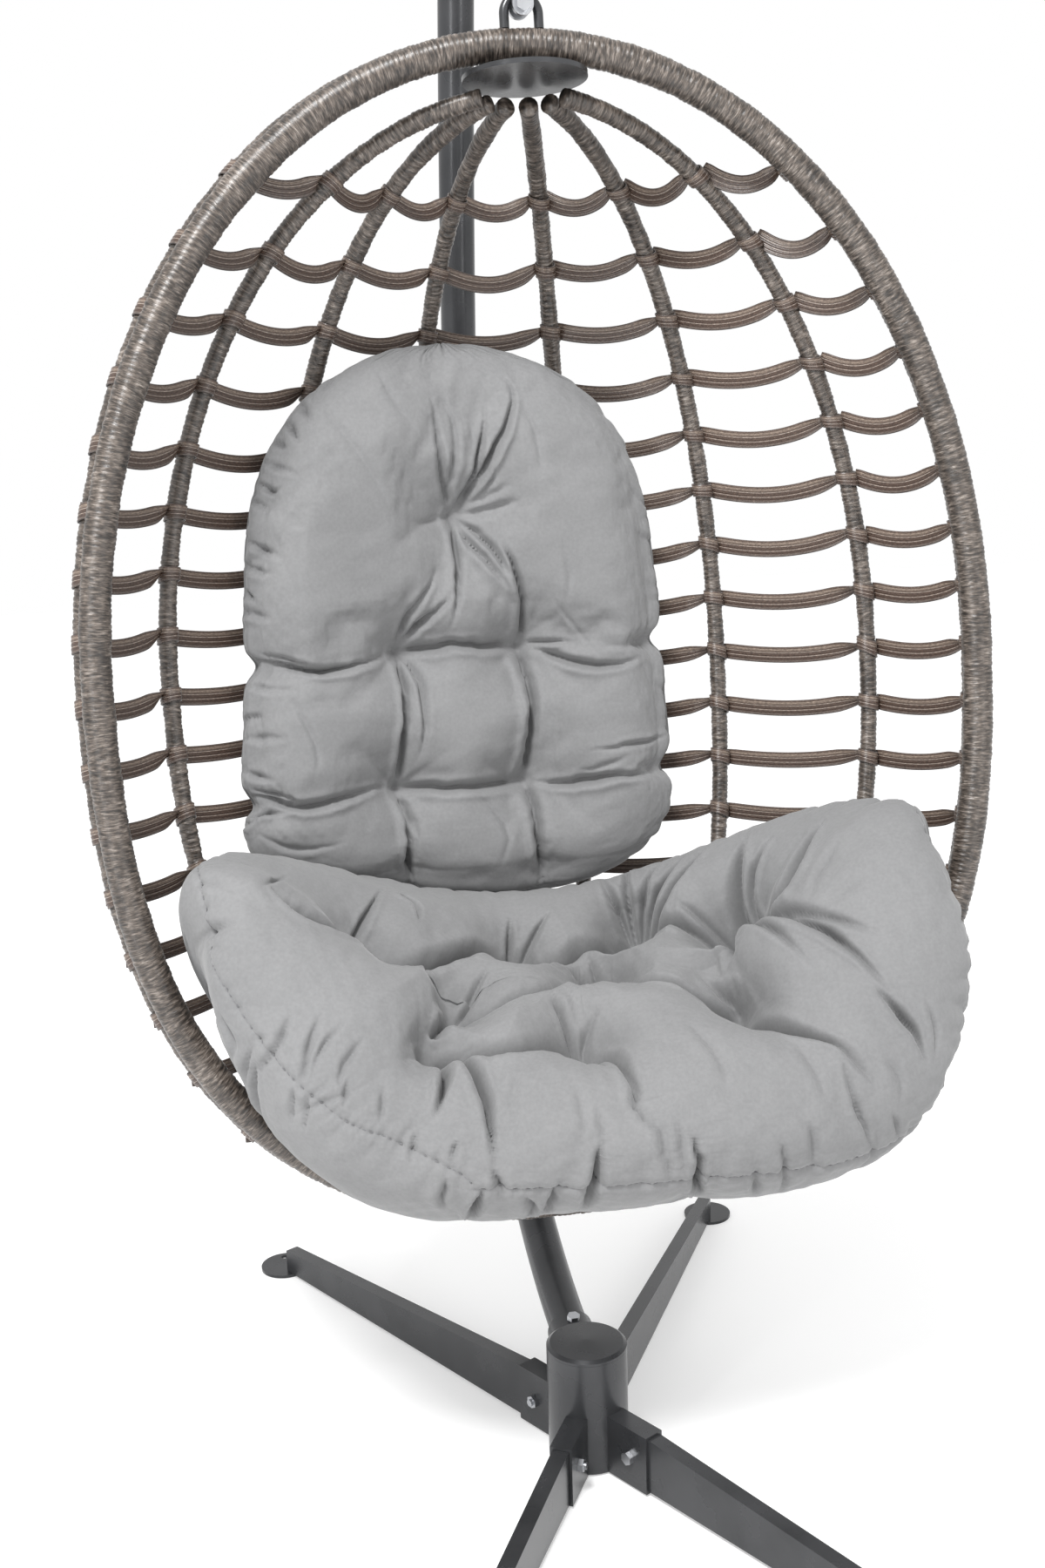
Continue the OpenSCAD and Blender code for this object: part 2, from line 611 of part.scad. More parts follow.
// Where strap i crosses a carrier: 0 and 7 are the rear rim, 1 to 6 the ribs
function carrier_far(c, level) = c == 0 || c == 7 ? rear_at(level) : rib_at(c - 1, level);
function carrier_turn(c) = c == 0 ? 180 : c == 7 ? 0 : rib_turn(c - 1);
function carrier_r(c) = c == 0 || c == 7 ? rear_r : rib_r;
function crossing(c, level) = [carrier_far(c, level) * cos(carrier_turn(c)),
    carrier_far(c, level) * sin(carrier_turn(c)) + (c == 0 || c == 7 ? rear_back : 0), level];
function carrier_tilt(c, level) = atan((carrier_far(c, level + 5) - carrier_far(c, level - 5)) / 10);

module at_crossing(c, level) translate(crossing(c, level)) rotate([0, 0, carrier_turn(c)])
    rotate([0, carrier_tilt(c, level), 0]) children();

module strap_span(p, q, sag) {
    across = q - p;
    length = norm(across);
    edge = [for (i = [0:strap_steps]) let (u = i / strap_steps) [length * u, -4 * sag * u * (1 - u)]];
    outline = concat([for (e = edge) e + [0, strap_h / 2]],
        [for (i = [strap_steps:-1:0]) edge[i] - [0, strap_h / 2]]);
    translate(p) rotate([0, 0, atan2(across[1], across[0])]) rotate([90, 0, 0])
        translate([0, 0, -strap_t / 2]) linear_extrude(strap_t) polygon(outline);
}

module strap(i) color(wicker_dark) basket() {
    level = strap_level(i);
    difference() {
        union() {
            for (c = [0:6]) strap_span(crossing(c, level), crossing(c + 1, level), strap_sag(i));
            for (c = [0:7]) at_crossing(c, level)
                cylinder(r = carrier_r(c) + wrap_gap + wrap_t, h = wrap_h, center = true, $fn = 32);
        }
        for (c = [0:7]) at_crossing(c, level)
            cylinder(r = carrier_r(c) + wrap_gap, h = 3 * wrap_h, center = true, $fn = 32);
    }
}

// ---------------------------------------------------------------- cushions

// Seat pad: a thick round pad bent to the bowl. Its middle surface is a function of
// the share s of its reach (0 to 1) and of the angle f round it; the front hangs
// over the rim, lower on the right, the sides rise as wings, and the front of each
// wing spreads in front of the rim: flare is that share of its reach, left and right
function bend(v, e) = sign(v) * pow(abs(v), e);
seat_level = -489.5;
seat_droop = 62;
seat_dip = 105;
seat_swell = 100;
function seat_lift(f) = sin(f) >= 0 ? seat_rise - (seat_dip + seat_swell * pow(cos(f), 2)) * pow(sin(f), 4)
                                    : (seat_rise + seat_droop) * pow(cos(f), 6) - seat_droop;
seat_flare_left = 0.03;
seat_flare_right = 0.13;
seat_skew = 22;
function step01(v) = let (t = min(1, max(0, v))) t * t * (3 - 2 * t);
function seat_flare(f) = 1 + (cos(f) < 0 ? seat_flare_left : seat_flare_right) * step01((-sin(f) - 0.05) / 0.45);
function seat_mid(s, f) = [seat_rx * seat_flare(f) * s * bend(cos(f), sin(f) >= 0 ? 1.1 : 0.85),
    (sin(f) >= 0 ? seat_back * bend(sin(f), 1.15) : seat_front * bend(sin(f), 0.95)) * s,
    seat_level + seat_lift(f) * pow(s, sin(f) >= 0 ? 2.6 : 2.6 - 1.2 * pow(sin(f), 2))
        + 2 * seat_skew * cos(f) * min(0, sin(f)) * s * s];
function seat_normal(s, f) = unit(cross(seat_mid(s, f + 2) - seat_mid(s, f - 2),
    seat_mid(s + 0.01, f) - seat_mid(s - 0.01, f)) * -1);
seat_tufts = [[-266, 24], [-56, 134], [110, 152], [226, 62], [-160, -18], [42, 52], [175, -32],
    [-196, -72], [-18, -79]];
tuft_depth = 44;
function dimple(p, tufts, reach) = max([for (t = tufts) exp(-pow(norm([p[0], p[1]] - t) / reach, 2))]);
function seat_thick(s) = seat_half * pow(max(0, 1 - pow(s, 5)), 0.5);
function seat_top(s, f) = let (m = seat_mid(s, f))
    m + seat_normal(s, f) * (seat_thick(s) - tuft_depth * (1 - s * s) * dimple(m, seat_tufts, 45));
function seat_under(s, f) = seat_mid(s, f) - seat_normal(s, f) * seat_thick(s);
seat_rings_top = [0.12, 0.24, 0.36, 0.48, 0.58, 0.68, 0.77, 0.85, 0.91, 0.96, 0.99];
seat_rings_low = [1, 0.98, 0.92, 0.8, 0.62, 0.4, 0.18];
seat_sides = 56;

// Closed form from rings of points, with a point at each end
module ring_form(first, rings, last) {
    n = len(rings[0]);
    m = len(rings);
    points = concat([first], [for (r = rings) each r], [last]);
    walls = [for (i = [0:m - 2]) for (j = [0:n - 1])
        let (a = 1 + i * n + j, b = 1 + i * n + (j + 1) % n, c = b + n, d = a + n)
            each [[a, b, c], [a, c, d]]];
    ends = [for (j = [0:n - 1]) each [[0, 1 + (j + 1) % n, 1 + j],
        [m * n + 1, 1 + (m - 1) * n + j, 1 + (m - 1) * n + (j + 1) % n]]];
    polyhedron(points, concat(walls, ends), convexity = 8);
}

module seat_cushion() color(grey_cloth) basket() {
    turns = [for (j = [0:seat_sides - 1]) 360 * j / seat_sides];
    rings = concat([for (s = seat_rings_top) [for (f = turns) seat_top(s, f)]],
        [for (s = seat_rings_low) [for (f = turns) seat_under(s, f)]]);
    crown = dimple([0, 0], seat_tufts, 45);
    ring_form([0, 0, seat_level + seat_half - tuft_depth * crown], rings, [0, 0, seat_level - seat_half]);
}

// Back pad: an upright pad with a round top. u runs across from -1 to 1 and v up
// from -1 to 1; its middle surface follows the bowl. The left side spreads towards
// its lower corner, and the belly hangs between the rear lobes of the seat pad
back_bottom = -320;
back_play = 6.6;
back_mid = (back_top + back_bottom) / 2;
back_span = (back_top - back_bottom) / 2;
function back_width(v) = back_rx * (1 - 0.035 * v) * (v > 0 ? pow(1 - pow(v, 2.9), 1 / 2.3) : pow(1 - pow(-v, 9), 1 / 3));
function back_mid_y(x, level) = bowl_depth * oval(level, rim_w, rib_up, rib_down) * 0.93
    - back_half - rib_r - wrap_t - back_play - 0.00096 * x * x;
back_tufts = [[2, 112], [-68, -39], [74, -42], [-80, -198], [71, -204]];
back_folds = [-40, -200];
back_spread = 32;
back_corner = 4;
function back_crease(x, level) = max([for (f = back_folds) exp(-pow((level - f) / 13, 2))]) * (0.35 + 0.65 * pow(min(1, abs(x) / 170), 2));
function back_thick(u, v) = back_half * pow(max(0, 1 - pow(abs(u), 4)), 0.5) * pow(max(0, 1 - pow(abs(v), 7)), 0.5);
back_belly = 26;
function back_hang(x, v) = v > 0 ? 0 : back_belly * pow(-v, 3) * max(0, 1 - pow((x - 78) / 185, 2));
function back_place(u, v) = let (w = max(0, -v),
    x = back_width(v) * u - back_spread * pow(w, 1.5) * (1 - pow(w, back_corner)) * pow(max(0, -u), 2))
    [x - back_shift, back_mid + back_span * v - back_hang(x, v)];
function back_front(u, v) = let (p = back_place(u, v),
    cut = max(36 * dimple([p[0] + back_shift, p[1]], back_tufts, 42), 16 * back_crease(p[0] + back_shift, p[1])))
        [p[0], back_mid_y(p[0], p[1]) - back_thick(u, v) * (1 - cut / back_half), p[1]];
function back_rear(u, v) = let (p = back_place(u, v)) [p[0], back_mid_y(p[0], p[1]) + back_thick(u, v) * 0.8, p[1]];
back_u = [-1, -0.97, -0.88, -0.75, -0.6, -0.43, -0.27, -0.13, 0, 0.13, 0.27, 0.43, 0.6, 0.75, 0.88, 0.97];
back_u_rear = [1, 0.94, 0.75, 0.4, 0, -0.4, -0.75, -0.94];
back_v = [0.975, 0.93, 0.86, 0.76, 0.64, 0.52, 0.42, 0.32, 0.2, 0.08, -0.02, -0.1, -0.18, -0.28,
    -0.38, -0.47, -0.56, -0.65, -0.74, -0.84, -0.93, -0.985];

module back_cushion() color(grey_cloth) basket() {
    rings = [for (v = back_v) concat([for (u = back_u) back_front(u, v)], [for (u = back_u_rear) back_rear(u, v)])];
    ring_form([-back_shift, back_mid_y(-back_shift, back_top), back_top], rings,
        [-back_shift, back_mid_y(-back_shift, back_bottom), back_bottom - back_belly]);
}

// ---------------------------------------------------------------- nodes

base_hub();
hub_cap();
leg(-1, true);  // leg_front_left
leg(1, true);  // leg_front_right
leg(-1, false);  // leg_rear_left
leg(1, false);  // leg_rear_right
foot_disc(-1, true);  // foot_disc_front_left
foot_disc(1, true);  // foot_disc_front_right
foot_disc(-1, false);  // foot_disc_rear_left
foot_disc(1, false);  // foot_disc_rear_right
leg_bolts();
pole_lower();
pole_middle();
pole_upper();
pole_bolts();
pole_end_cap();
hook_eye();
shackle();
shackle_bolt();
swivel_head();
swivel_bolt();
swivel_bearing();
swivel_spindle();
hanging_spring();
basket_clevis();
basket_bolt();
basket_loop();
rim_front();
rim_rear();
rib(0);  // rib_left_outer
rib(1);  // rib_left_middle
rib(2);  // rib_left_inner
rib(3);  // rib_right_inner
rib(4);  // rib_right_middle
rib(5);  // rib_right_outer
top_plate();
bottom_plate();
strap(1);  // strap_01
strap(2);  // strap_02
strap(3);  // strap_03
strap(4);  // strap_04
strap(5);  // strap_05
strap(6);  // strap_06
strap(7);  // strap_07
strap(8);  // strap_08
strap(9);  // strap_09
strap(10);  // strap_10
strap(11);  // strap_11
strap(12);  // strap_12
strap(13);  // strap_13
strap(14);  // strap_14
strap(15);  // strap_15
strap(16);  // strap_16
seat_cushion();
back_cushion();
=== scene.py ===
"""Looks of the hanging egg chair: wrapped tubes, ridged straps, tufted cushions, painted metal.

Lengths are in millimetres in the basket's own frame (x right, y to the back, z along the
tilted basket) until place() turns them into metres in the shared frame.
"""
import math

import bmesh
import bpy
import numpy as np
from mathutils import Matrix
from mathutils.kdtree import KDTree


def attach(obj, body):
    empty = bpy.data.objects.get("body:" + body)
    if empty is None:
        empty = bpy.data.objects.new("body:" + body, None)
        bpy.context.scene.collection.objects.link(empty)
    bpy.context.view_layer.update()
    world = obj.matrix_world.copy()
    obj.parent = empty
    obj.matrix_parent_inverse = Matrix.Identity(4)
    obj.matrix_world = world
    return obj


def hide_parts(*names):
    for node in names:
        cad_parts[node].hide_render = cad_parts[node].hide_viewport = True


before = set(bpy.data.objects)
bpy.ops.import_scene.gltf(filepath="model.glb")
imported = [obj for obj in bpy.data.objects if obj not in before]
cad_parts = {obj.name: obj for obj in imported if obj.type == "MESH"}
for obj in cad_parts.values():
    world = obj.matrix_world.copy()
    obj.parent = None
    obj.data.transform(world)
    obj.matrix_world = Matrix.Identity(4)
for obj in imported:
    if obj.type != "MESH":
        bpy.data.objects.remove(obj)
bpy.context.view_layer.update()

# ---------------------------------------------------------------- the basket's measures
TILT, LEAN = math.radians(5.8), math.radians(0.55)
RIM_W, RIM_TOP, RIM_BOTTOM, RIM_WIDE = 480.0, 580.0, 645.0, 67.0
RIM_R, REAR_R, RIB_R = 16.5, 13.5, 10.0
REAR_BACK, REAR_OUT = 31.0, 10.0
BOWL, BOWL_N = 0.82, 1.5
UP, LOW = RIM_TOP + RIM_WIDE, RIM_BOTTOM - RIM_WIDE
RIB_UP, RIB_LOW = UP - 45.0, LOW - 45.0
N_UP, N_LOW = 2.05, 2.5
RIB_SHARE = (-0.85, -0.55, -0.205, 0.205, 0.55, 0.85)
RIB_NAMES = ("rib_left_outer", "rib_left_middle", "rib_left_inner",
             "rib_right_inner", "rib_right_middle", "rib_right_outer")
RIB_START = 46.0
ORIGIN = np.array((5.934, 36.918, 942.210))
STRAP_H, STRAP_PITCH, STRAP_LOW = 20.0, 66.0, 528.0
SAG_TOP, SAG_LOW = 17.0, 3.0
STRAPS = 16

ct, st, cl, sl = math.cos(TILT), math.sin(TILT), math.cos(LEAN), math.sin(LEAN)
TURN = np.array(((1, 0, 0), (0, ct, st), (0, -st, ct))) @ np.array(((cl, 0, -sl), (0, 1, 0), (sl, 0, cl)))


def place(points):
    """Basket millimetres to metres in the shared frame."""
    return (np.asarray(points, float) @ TURN.T + ORIGIN) / 1000.0


def oval(level, width, up, low):
    u = np.asarray(level, float) + RIM_WIDE
    top = np.clip(1 - np.abs(u / up) ** N_UP, 0, 1) ** (1 / N_UP)
    bottom = np.clip(1 - np.abs(u / low) ** N_LOW, 0, 1) ** (1 / N_LOW)
    return width * np.where(u >= 0, top, bottom)


def rib_depth(k):
    return BOWL * (1 - abs(RIB_SHARE[k]) ** BOWL_N) ** (1 / BOWL_N)


def rib_turn(k):
    return math.atan2(rib_depth(k), RIB_SHARE[k])


def rib_far(k):
    return math.hypot(RIB_SHARE[k], rib_depth(k))


# ---------------------------------------------------------------- small helpers
def unit(v):
    """The vector, or each vector of an array, at length one."""
    return v / np.maximum(np.linalg.norm(v, axis=-1, keepdims=True), 1e-9)


def smooth_step(v):
    t = np.clip(v, 0, 1)
    return t * t * (3 - 2 * t)


def bell(v):
    return np.exp(-v ** 2)


def linked(name, data):
    piece = bpy.data.objects.new(name, data)
    bpy.context.scene.collection.objects.link(piece)
    return piece


def axes_matrix(x, y, z, at):
    return Matrix([[x[i], y[i], z[i], at[i]] for i in range(3)] + [[0, 0, 0, 1]])


# ---------------------------------------------------------------- mesh and node helpers
def add_mesh(name, verts, faces, material, uv=None, wrap=None, outward=True):
    mesh = bpy.data.meshes.new(name)
    mesh.from_pydata([tuple(v) for v in verts], [], [tuple(int(i) for i in f) for f in faces])
    if outward:
        work = bmesh.new()
        work.from_mesh(mesh)
        bmesh.ops.recalc_face_normals(work, faces=work.faces)
        work.to_mesh(mesh)
        work.free()
    mesh.update()
    mesh.polygons.foreach_set("use_smooth", [True] * len(mesh.polygons))
    if uv is not None:
        layer = mesh.uv_layers.new(name="UVMap")
        loops = np.zeros(len(mesh.loops), dtype=np.int64)
        mesh.loops.foreach_get("vertex_index", loops)
        layer.data.foreach_set("uv", np.asarray(uv, np.float32)[loops].ravel())
    if wrap is not None:
        layer = mesh.attributes.new("wrap", "FLOAT_VECTOR", "POINT")
        layer.data.foreach_set("vector", np.asarray(wrap, np.float32).ravel())
    piece = linked(name, mesh)
    mesh.materials.append(material)
    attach(piece, "basket")
    return piece


def tube_faces(rings, sides, closed):
    faces = []
    for i in range(rings if closed else rings - 1):
        a, b = i * sides, ((i + 1) % rings) * sides
        for j in range(sides):
            k = (j + 1) % sides
            faces.append((a + j, a + k, b + k, b + j))
    if not closed:
        faces.append(tuple(range(sides - 1, -1, -1)))
        faces.append(tuple((rings - 1) * sides + j for j in range(sides)))
    return faces


def node_tree(name):
    material = bpy.data.materials.new(name)
    material.use_nodes = True
    tree = material.node_tree
    tree.nodes.clear()
    out = tree.nodes.new("ShaderNodeOutputMaterial")
    shader = tree.nodes.new("ShaderNodeBsdfPrincipled")
    tree.links.new(shader.outputs[0], out.inputs[0])
    return material, tree, shader


def new(tree, kind, **values):
    """A node with its sockets or properties set by name."""
    node = tree.nodes.new(kind)
    for key, value in values.items():
        if key in node.inputs:
            node.inputs[key].default_value = value
        else:
            setattr(node, key, value)
    return node


def texture(tree, kind, vector, **values):
    """A procedural texture read at the vector; gives its Fac output."""
    node = new(tree, kind, **values)
    tree.links.new(vector, node.inputs["Vector"])
    return node.outputs["Fac"]


def noise(tree, vector, scale, detail, roughness=0.5):
    return texture(tree, "ShaderNodeTexNoise", vector, Scale=scale, Detail=detail, Roughness=roughness)


def ramp(tree, source, stops):
    node = tree.nodes.new("ShaderNodeValToRGB")
    while len(node.color_ramp.elements) < len(stops):
        node.color_ramp.elements.new(0.5)
    for element, (at, colour) in zip(node.color_ramp.elements, stops):
        element.position = at
        element.color = (*colour, 1)
    tree.links.new(source, node.inputs[0])
    return node.outputs[0]


def math_node(tree, operation, a, b=None):
    node = tree.nodes.new("ShaderNodeMath")
    node.operation = operation
    for socket, value in zip(node.inputs, (a, b)):
        if value is None:
            continue
        if isinstance(value, (int, float)):
            socket.default_value = value
        else:
            tree.links.new(value, socket)
    return node.outputs[0]


def weighted_sum(tree, *parts):
    total = None
    for value, share in parts:
        scaled = math_node(tree, "MULTIPLY", value, share)
        total = scaled if total is None else math_node(tree, "ADD", total, scaled)
    return total


def finish_shader(tree, shader, colour, height, strength, distance, values):
    """Colour from a node, bump from a height, and constant values by socket name."""
    tree.links.new(colour, shader.inputs["Base Color"])
    for key, value in values.items():
        shader.inputs[key].default_value = value
    node = new(tree, "ShaderNodeBump", Strength=strength, Distance=distance)
    tree.links.new(height, node.inputs["Height"])
    tree.links.new(node.outputs[0], shader.inputs["Normal"])


def mapped(tree, source, scale):
    node = tree.nodes.new("ShaderNodeMapping")
    node.inputs["Scale"].default_value = scale
    tree.links.new(source, node.inputs["Vector"])
    return node.outputs[0]


# ---------------------------------------------------------------- materials
def wrap_material():
    """Flat cane wound round a tube: streaks across the tube, read from the wrap attribute."""
    material, tree, shader = node_tree("wrapped_cane")
    coord = new(tree, "ShaderNodeAttribute", attribute_name="wrap").outputs["Vector"]
    streak = noise(tree, mapped(tree, coord, (0.9, 0.9, 2.0)), 1.0, 5.0, 0.6)
    fine = noise(tree, mapped(tree, coord, (1.4, 1.4, 11.0)), 1.0, 3.0, 0.55)
    patch = noise(tree, mapped(tree, coord, (0.8, 0.8, 0.12)), 1.0, 2.0)
    mix = weighted_sum(tree, (streak, 0.45), (fine, 0.40), (patch, 0.15))
    colour = ramp(tree, mix, ((0.36, (0.006, 0.0045, 0.004)), (0.44, (0.018, 0.014, 0.011)),
                              (0.50, (0.055, 0.043, 0.035)), (0.57, (0.13, 0.107, 0.09)),
                              (0.66, (0.33, 0.295, 0.265))))
    finish_shader(tree, shader, colour, mix, 0.55, 0.0012, {"Roughness": 0.34, "Specular IOR Level": 0.6})
    return material


def strap_material():
    """Ridged flat strap: thin light lines along it, read from the UVs."""
    material, tree, shader = node_tree("ridged_strap")
    uv = new(tree, "ShaderNodeUVMap", uv_map="UVMap").outputs[0]
    split = tree.nodes.new("ShaderNodeSeparateXYZ")
    tree.links.new(uv, split.inputs[0])
    across = split.outputs["Y"]
    grain = noise(tree, mapped(tree, uv, (26.0, 17.0, 1.0)), 1.0, 4.0, 0.6)
    brown, line = (0.07, 0.047, 0.037), (0.40, 0.36, 0.33)
    lines = ramp(tree, across, (
        (0.00, (0.04, 0.032, 0.03)), (0.10, (0.13, 0.11, 0.10)), (0.18, (0.065, 0.043, 0.034)),
        (0.335, brown), (0.36, line), (0.39, brown), (0.60, brown), (0.635, line), (0.67, brown),
        (0.83, (0.24, 0.20, 0.17)), (0.90, (0.11, 0.08, 0.065)), (1.00, (0.08, 0.065, 0.06))))
    tone = ramp(tree, grain, (
        (0.30, (0.36, 0.32, 0.30)), (0.5, (0.75, 0.70, 0.66)), (0.72, (1.35, 1.28, 1.2))))
    mix = new(tree, "ShaderNodeMix", data_type="RGBA", blend_type="MULTIPLY")
    mix.inputs["Factor"].default_value = 1.0
    tree.links.new(lines, mix.inputs["A"])
    tree.links.new(tone, mix.inputs["B"])
    ridge = math_node(tree, "SINE", math_node(tree, "MULTIPLY", across, 2 * math.pi * 9.0))
    height = weighted_sum(tree, (ridge, 0.5), (grain, 0.6))
    finish_shader(tree, shader, mix.outputs["Result"], height, 0.5, 0.0005,
                  {"Roughness": 0.36, "Specular IOR Level": 0.55})
    return material


def cloth_material():
    """Plain woven polyester: a fine weave, faint unevenness and a soft sheen."""
    material, tree, shader = node_tree("grey_cloth")
    coord = new(tree, "ShaderNodeTexCoord").outputs["Object"]
    warp, weft = (texture(tree, "ShaderNodeTexWave", coord, Scale=420.0, Distortion=1.2, Detail=1.0,
                          bands_direction=axis) for axis in "XZ")
    slub, broad = noise(tree, coord, 260.0, 3.0), noise(tree, coord, 9.0, 4.0)
    colour = ramp(tree, weighted_sum(tree, (slub, 0.5), (broad, 0.5)), (
        (0.35, (0.158, 0.159, 0.161)), (0.5, (0.173, 0.174, 0.176)), (0.65, (0.188, 0.189, 0.191))))
    weave = math_node(tree, "MULTIPLY", math_node(tree, "ADD", warp, weft), 0.35)
    finish_shader(tree, shader, colour, math_node(tree, "ADD", weave, slub), 0.22, 0.0006, {
        "Roughness": 0.82, "Specular IOR Level": 0.25, "Sheen Weight": 0.18, "Sheen Roughness": 0.5})
    return material


def metal_material(name, dark, light, rough, metallic, scale):
    material, tree, shader = node_tree(name)
    coord = new(tree, "ShaderNodeTexCoord").outputs["Object"]
    peel, broad = noise(tree, coord, scale, 2.0), noise(tree, coord, 14.0, 5.0)
    shine = new(tree, "ShaderNodeMapRange")
    shine.inputs["To Min"].default_value = rough - 0.05
    shine.inputs["To Max"].default_value = rough + 0.07
    tree.links.new(broad, shine.inputs["Value"])
    tree.links.new(shine.outputs[0], shader.inputs["Roughness"])
    colour = ramp(tree, broad, ((0.35, dark), (0.65, light)))
    finish_shader(tree, shader, colour, peel, 0.10, 0.0004, {"Metallic": metallic})
    return material


def thread_material():
    material, tree, shader = node_tree("grey_thread")
    twist = noise(tree, new(tree, "ShaderNodeTexCoord").outputs["Object"], 900.0, 2.0)
    colour = ramp(tree, twist, ((0.3, (0.10, 0.10, 0.105)), (0.7, (0.17, 0.17, 0.175))))
    finish_shader(tree, shader, colour, twist, 0.4, 0.0003, {"Roughness": 0.7})
    return material


CANE = wrap_material()
STRAP = strap_material()
CLOTH = cloth_material()
THREAD = thread_material()
PAINT = metal_material("charcoal_paint", (0.028, 0.029, 0.031), (0.042, 0.043, 0.046), 0.26, 0.35, 900.0)
ZINC = metal_material("zinc_steel", (0.42, 0.43, 0.45), (0.60, 0.61, 0.63), 0.30, 1.0, 600.0)
ZINC_NODES = ("leg_bolts", "pole_bolts", "shackle_bolt", "swivel_bolt", "swivel_bearing",
              "swivel_spindle", "hanging_spring", "basket_clevis", "basket_bolt")
for node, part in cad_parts.items():
    part.data.materials.clear()
    part.data.materials.append(ZINC if node in ZINC_NODES else PAINT)

# ---------------------------------------------------------------- wrapped tubes
WIND = 5.4                     # one turn of the cane takes this much of the tube
WRAP_STEP = 1.35
CANE_SINK, CANE_CROWN, CANE_UNEVEN = 0.9, 0.85, 0.35
SEED_SHIFT = 17.3              # keeps the streaks of two tubes apart


def resample(points, step, closed):
    pts = np.vstack([points, points[:1]]) if closed else np.asarray(points)
    gap = np.linalg.norm(np.diff(pts, axis=0), axis=1)
    at = np.concatenate([[0], np.cumsum(gap)])
    n = max(8, int(round(at[-1] / step)))
    want = np.linspace(0, at[-1], n + 1)[:-1] if closed else np.linspace(0, at[-1], n + 1)
    out = np.stack([np.interp(want, at, pts[:, i]) for i in range(3)], axis=1)
    return out, want


def smooth_noise(rng, x, cell):
    """Value noise along x, one random value per cell, from -1 to 1."""
    lo = x.min()
    grid = rng.uniform(-1, 1, int((x.max() - lo) / cell) + 4)
    u = (x - lo) / cell
    i = np.floor(u).astype(int)
    t = smooth_step(u - i)
    return grid[i] * (1 - t) + grid[i + 1] * t


def wrapped_tube(name, path, normal, radius, sides, closed, node, seed):
    rng = np.random.default_rng(seed)
    pts, along = resample(path, WRAP_STEP, closed)
    if closed:
        tangent = np.roll(pts, -1, axis=0) - np.roll(pts, 1, axis=0)
    else:
        tangent = np.gradient(pts, axis=0)
    normal = np.asarray(normal, float)
    side = unit(np.cross(normal, unit(tangent)))
    angle = np.arange(sides) * 2 * math.pi / sides
    slant = smooth_noise(rng, along, 38.0) * 1.1
    phase = smooth_noise(rng, along, 60.0) * math.pi
    turns = along[:, None] / WIND + 0.42 * slant[:, None] * np.sin(angle[None] + phase[:, None])
    turns = turns + 0.55 * smooth_noise(rng, along, 23.0)[:, None]
    frac = turns - np.floor(turns)
    strip = 1 - np.abs(2 * frac - 1) ** 3
    which = np.floor(turns).astype(int)
    heights = rng.uniform(-1, 1, which.max() - which.min() + 2)[which - which.min()]
    lump = smooth_noise(rng, along, 30.0)[:, None] * 0.45 + smooth_noise(rng, along, 9.0)[:, None] * 0.25
    r = radius - CANE_SINK + CANE_CROWN * strip + CANE_UNEVEN * heights + lump
    ring = (pts[:, None] + r[..., None] * (np.cos(angle)[None, :, None] * side[:, None]
                                           + np.sin(angle)[None, :, None] * normal))
    around = [np.broadcast_to(part(angle), r.shape) * radius / 12.0 for part in (np.cos, np.sin)]
    wrap = np.stack([*around, turns + seed * SEED_SHIFT], axis=-1)
    piece = add_mesh(name, place(ring.reshape(-1, 3)), tube_faces(len(pts), sides, closed), CANE,
                     wrap=wrap.reshape(-1, 3), outward=False)
    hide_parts(node)


def oval_loop(width, up, low, back):
    a = np.linspace(0, 2 * math.pi, 720, endpoint=False)
    c, s = np.cos(a), np.sin(a)
    e = np.where(s >= 0, 2 / N_UP, 2 / N_LOW)
    z = -RIM_WIDE + np.where(s >= 0, up, -low) * np.abs(s) ** e
    return np.stack([width * np.sign(c) * np.abs(c) ** e, np.full_like(a, back), z], axis=1)


def rib_path(k):
    def limit(n):
        return math.acos((RIB_START / rib_far(k) / RIM_W) ** (n / 2))
    a = np.linspace(limit(N_UP), -limit(N_LOW), 400)
    e = np.where(a >= 0, 2 / N_UP, 2 / N_LOW)
    out = rib_far(k) * RIM_W * np.cos(a) ** e
    turn = rib_turn(k)
    z = -RIM_WIDE + np.where(a >= 0, RIB_UP, -RIB_LOW) * np.abs(np.sin(a)) ** e
    return np.stack([out * math.cos(turn), out * math.sin(turn), z], axis=1)


wrapped_tube("rim_front_wrap", oval_loop(RIM_W, UP, LOW, 0.0), (0, -1, 0), RIM_R, 24, True, "rim_front", 1)
wrapped_tube("rim_rear_wrap", oval_loop(RIM_W + REAR_OUT, UP + REAR_OUT, LOW + REAR_OUT, REAR_BACK),
             (0, -1, 0), REAR_R, 20, True, "rim_rear", 2)
for k in range(6):
    turn = rib_turn(k)
    wrapped_tube(RIB_NAMES[k] + "_wrap", rib_path(k), (-math.sin(turn), math.cos(turn), 0), RIB_R, 16,
                 False, RIB_NAMES[k], 3 + k)


# ---------------------------------------------------------------- straps
def carrier_far(c, level):
    if c in (0, 7):
        return float(oval(level, RIM_W + REAR_OUT, UP + REAR_OUT, LOW + REAR_OUT))
    return rib_far(c - 1) * float(oval(level, RIM_W, RIB_UP, RIB_LOW))


def carrier_turn(c):
    return math.pi if c == 0 else 0.0 if c == 7 else rib_turn(c - 1)


def crossing(c, level):
    far, turn = carrier_far(c, level), carrier_turn(c)
    return np.array((far * math.cos(turn), far * math.sin(turn) + (REAR_BACK if c in (0, 7) else 0.0), level))


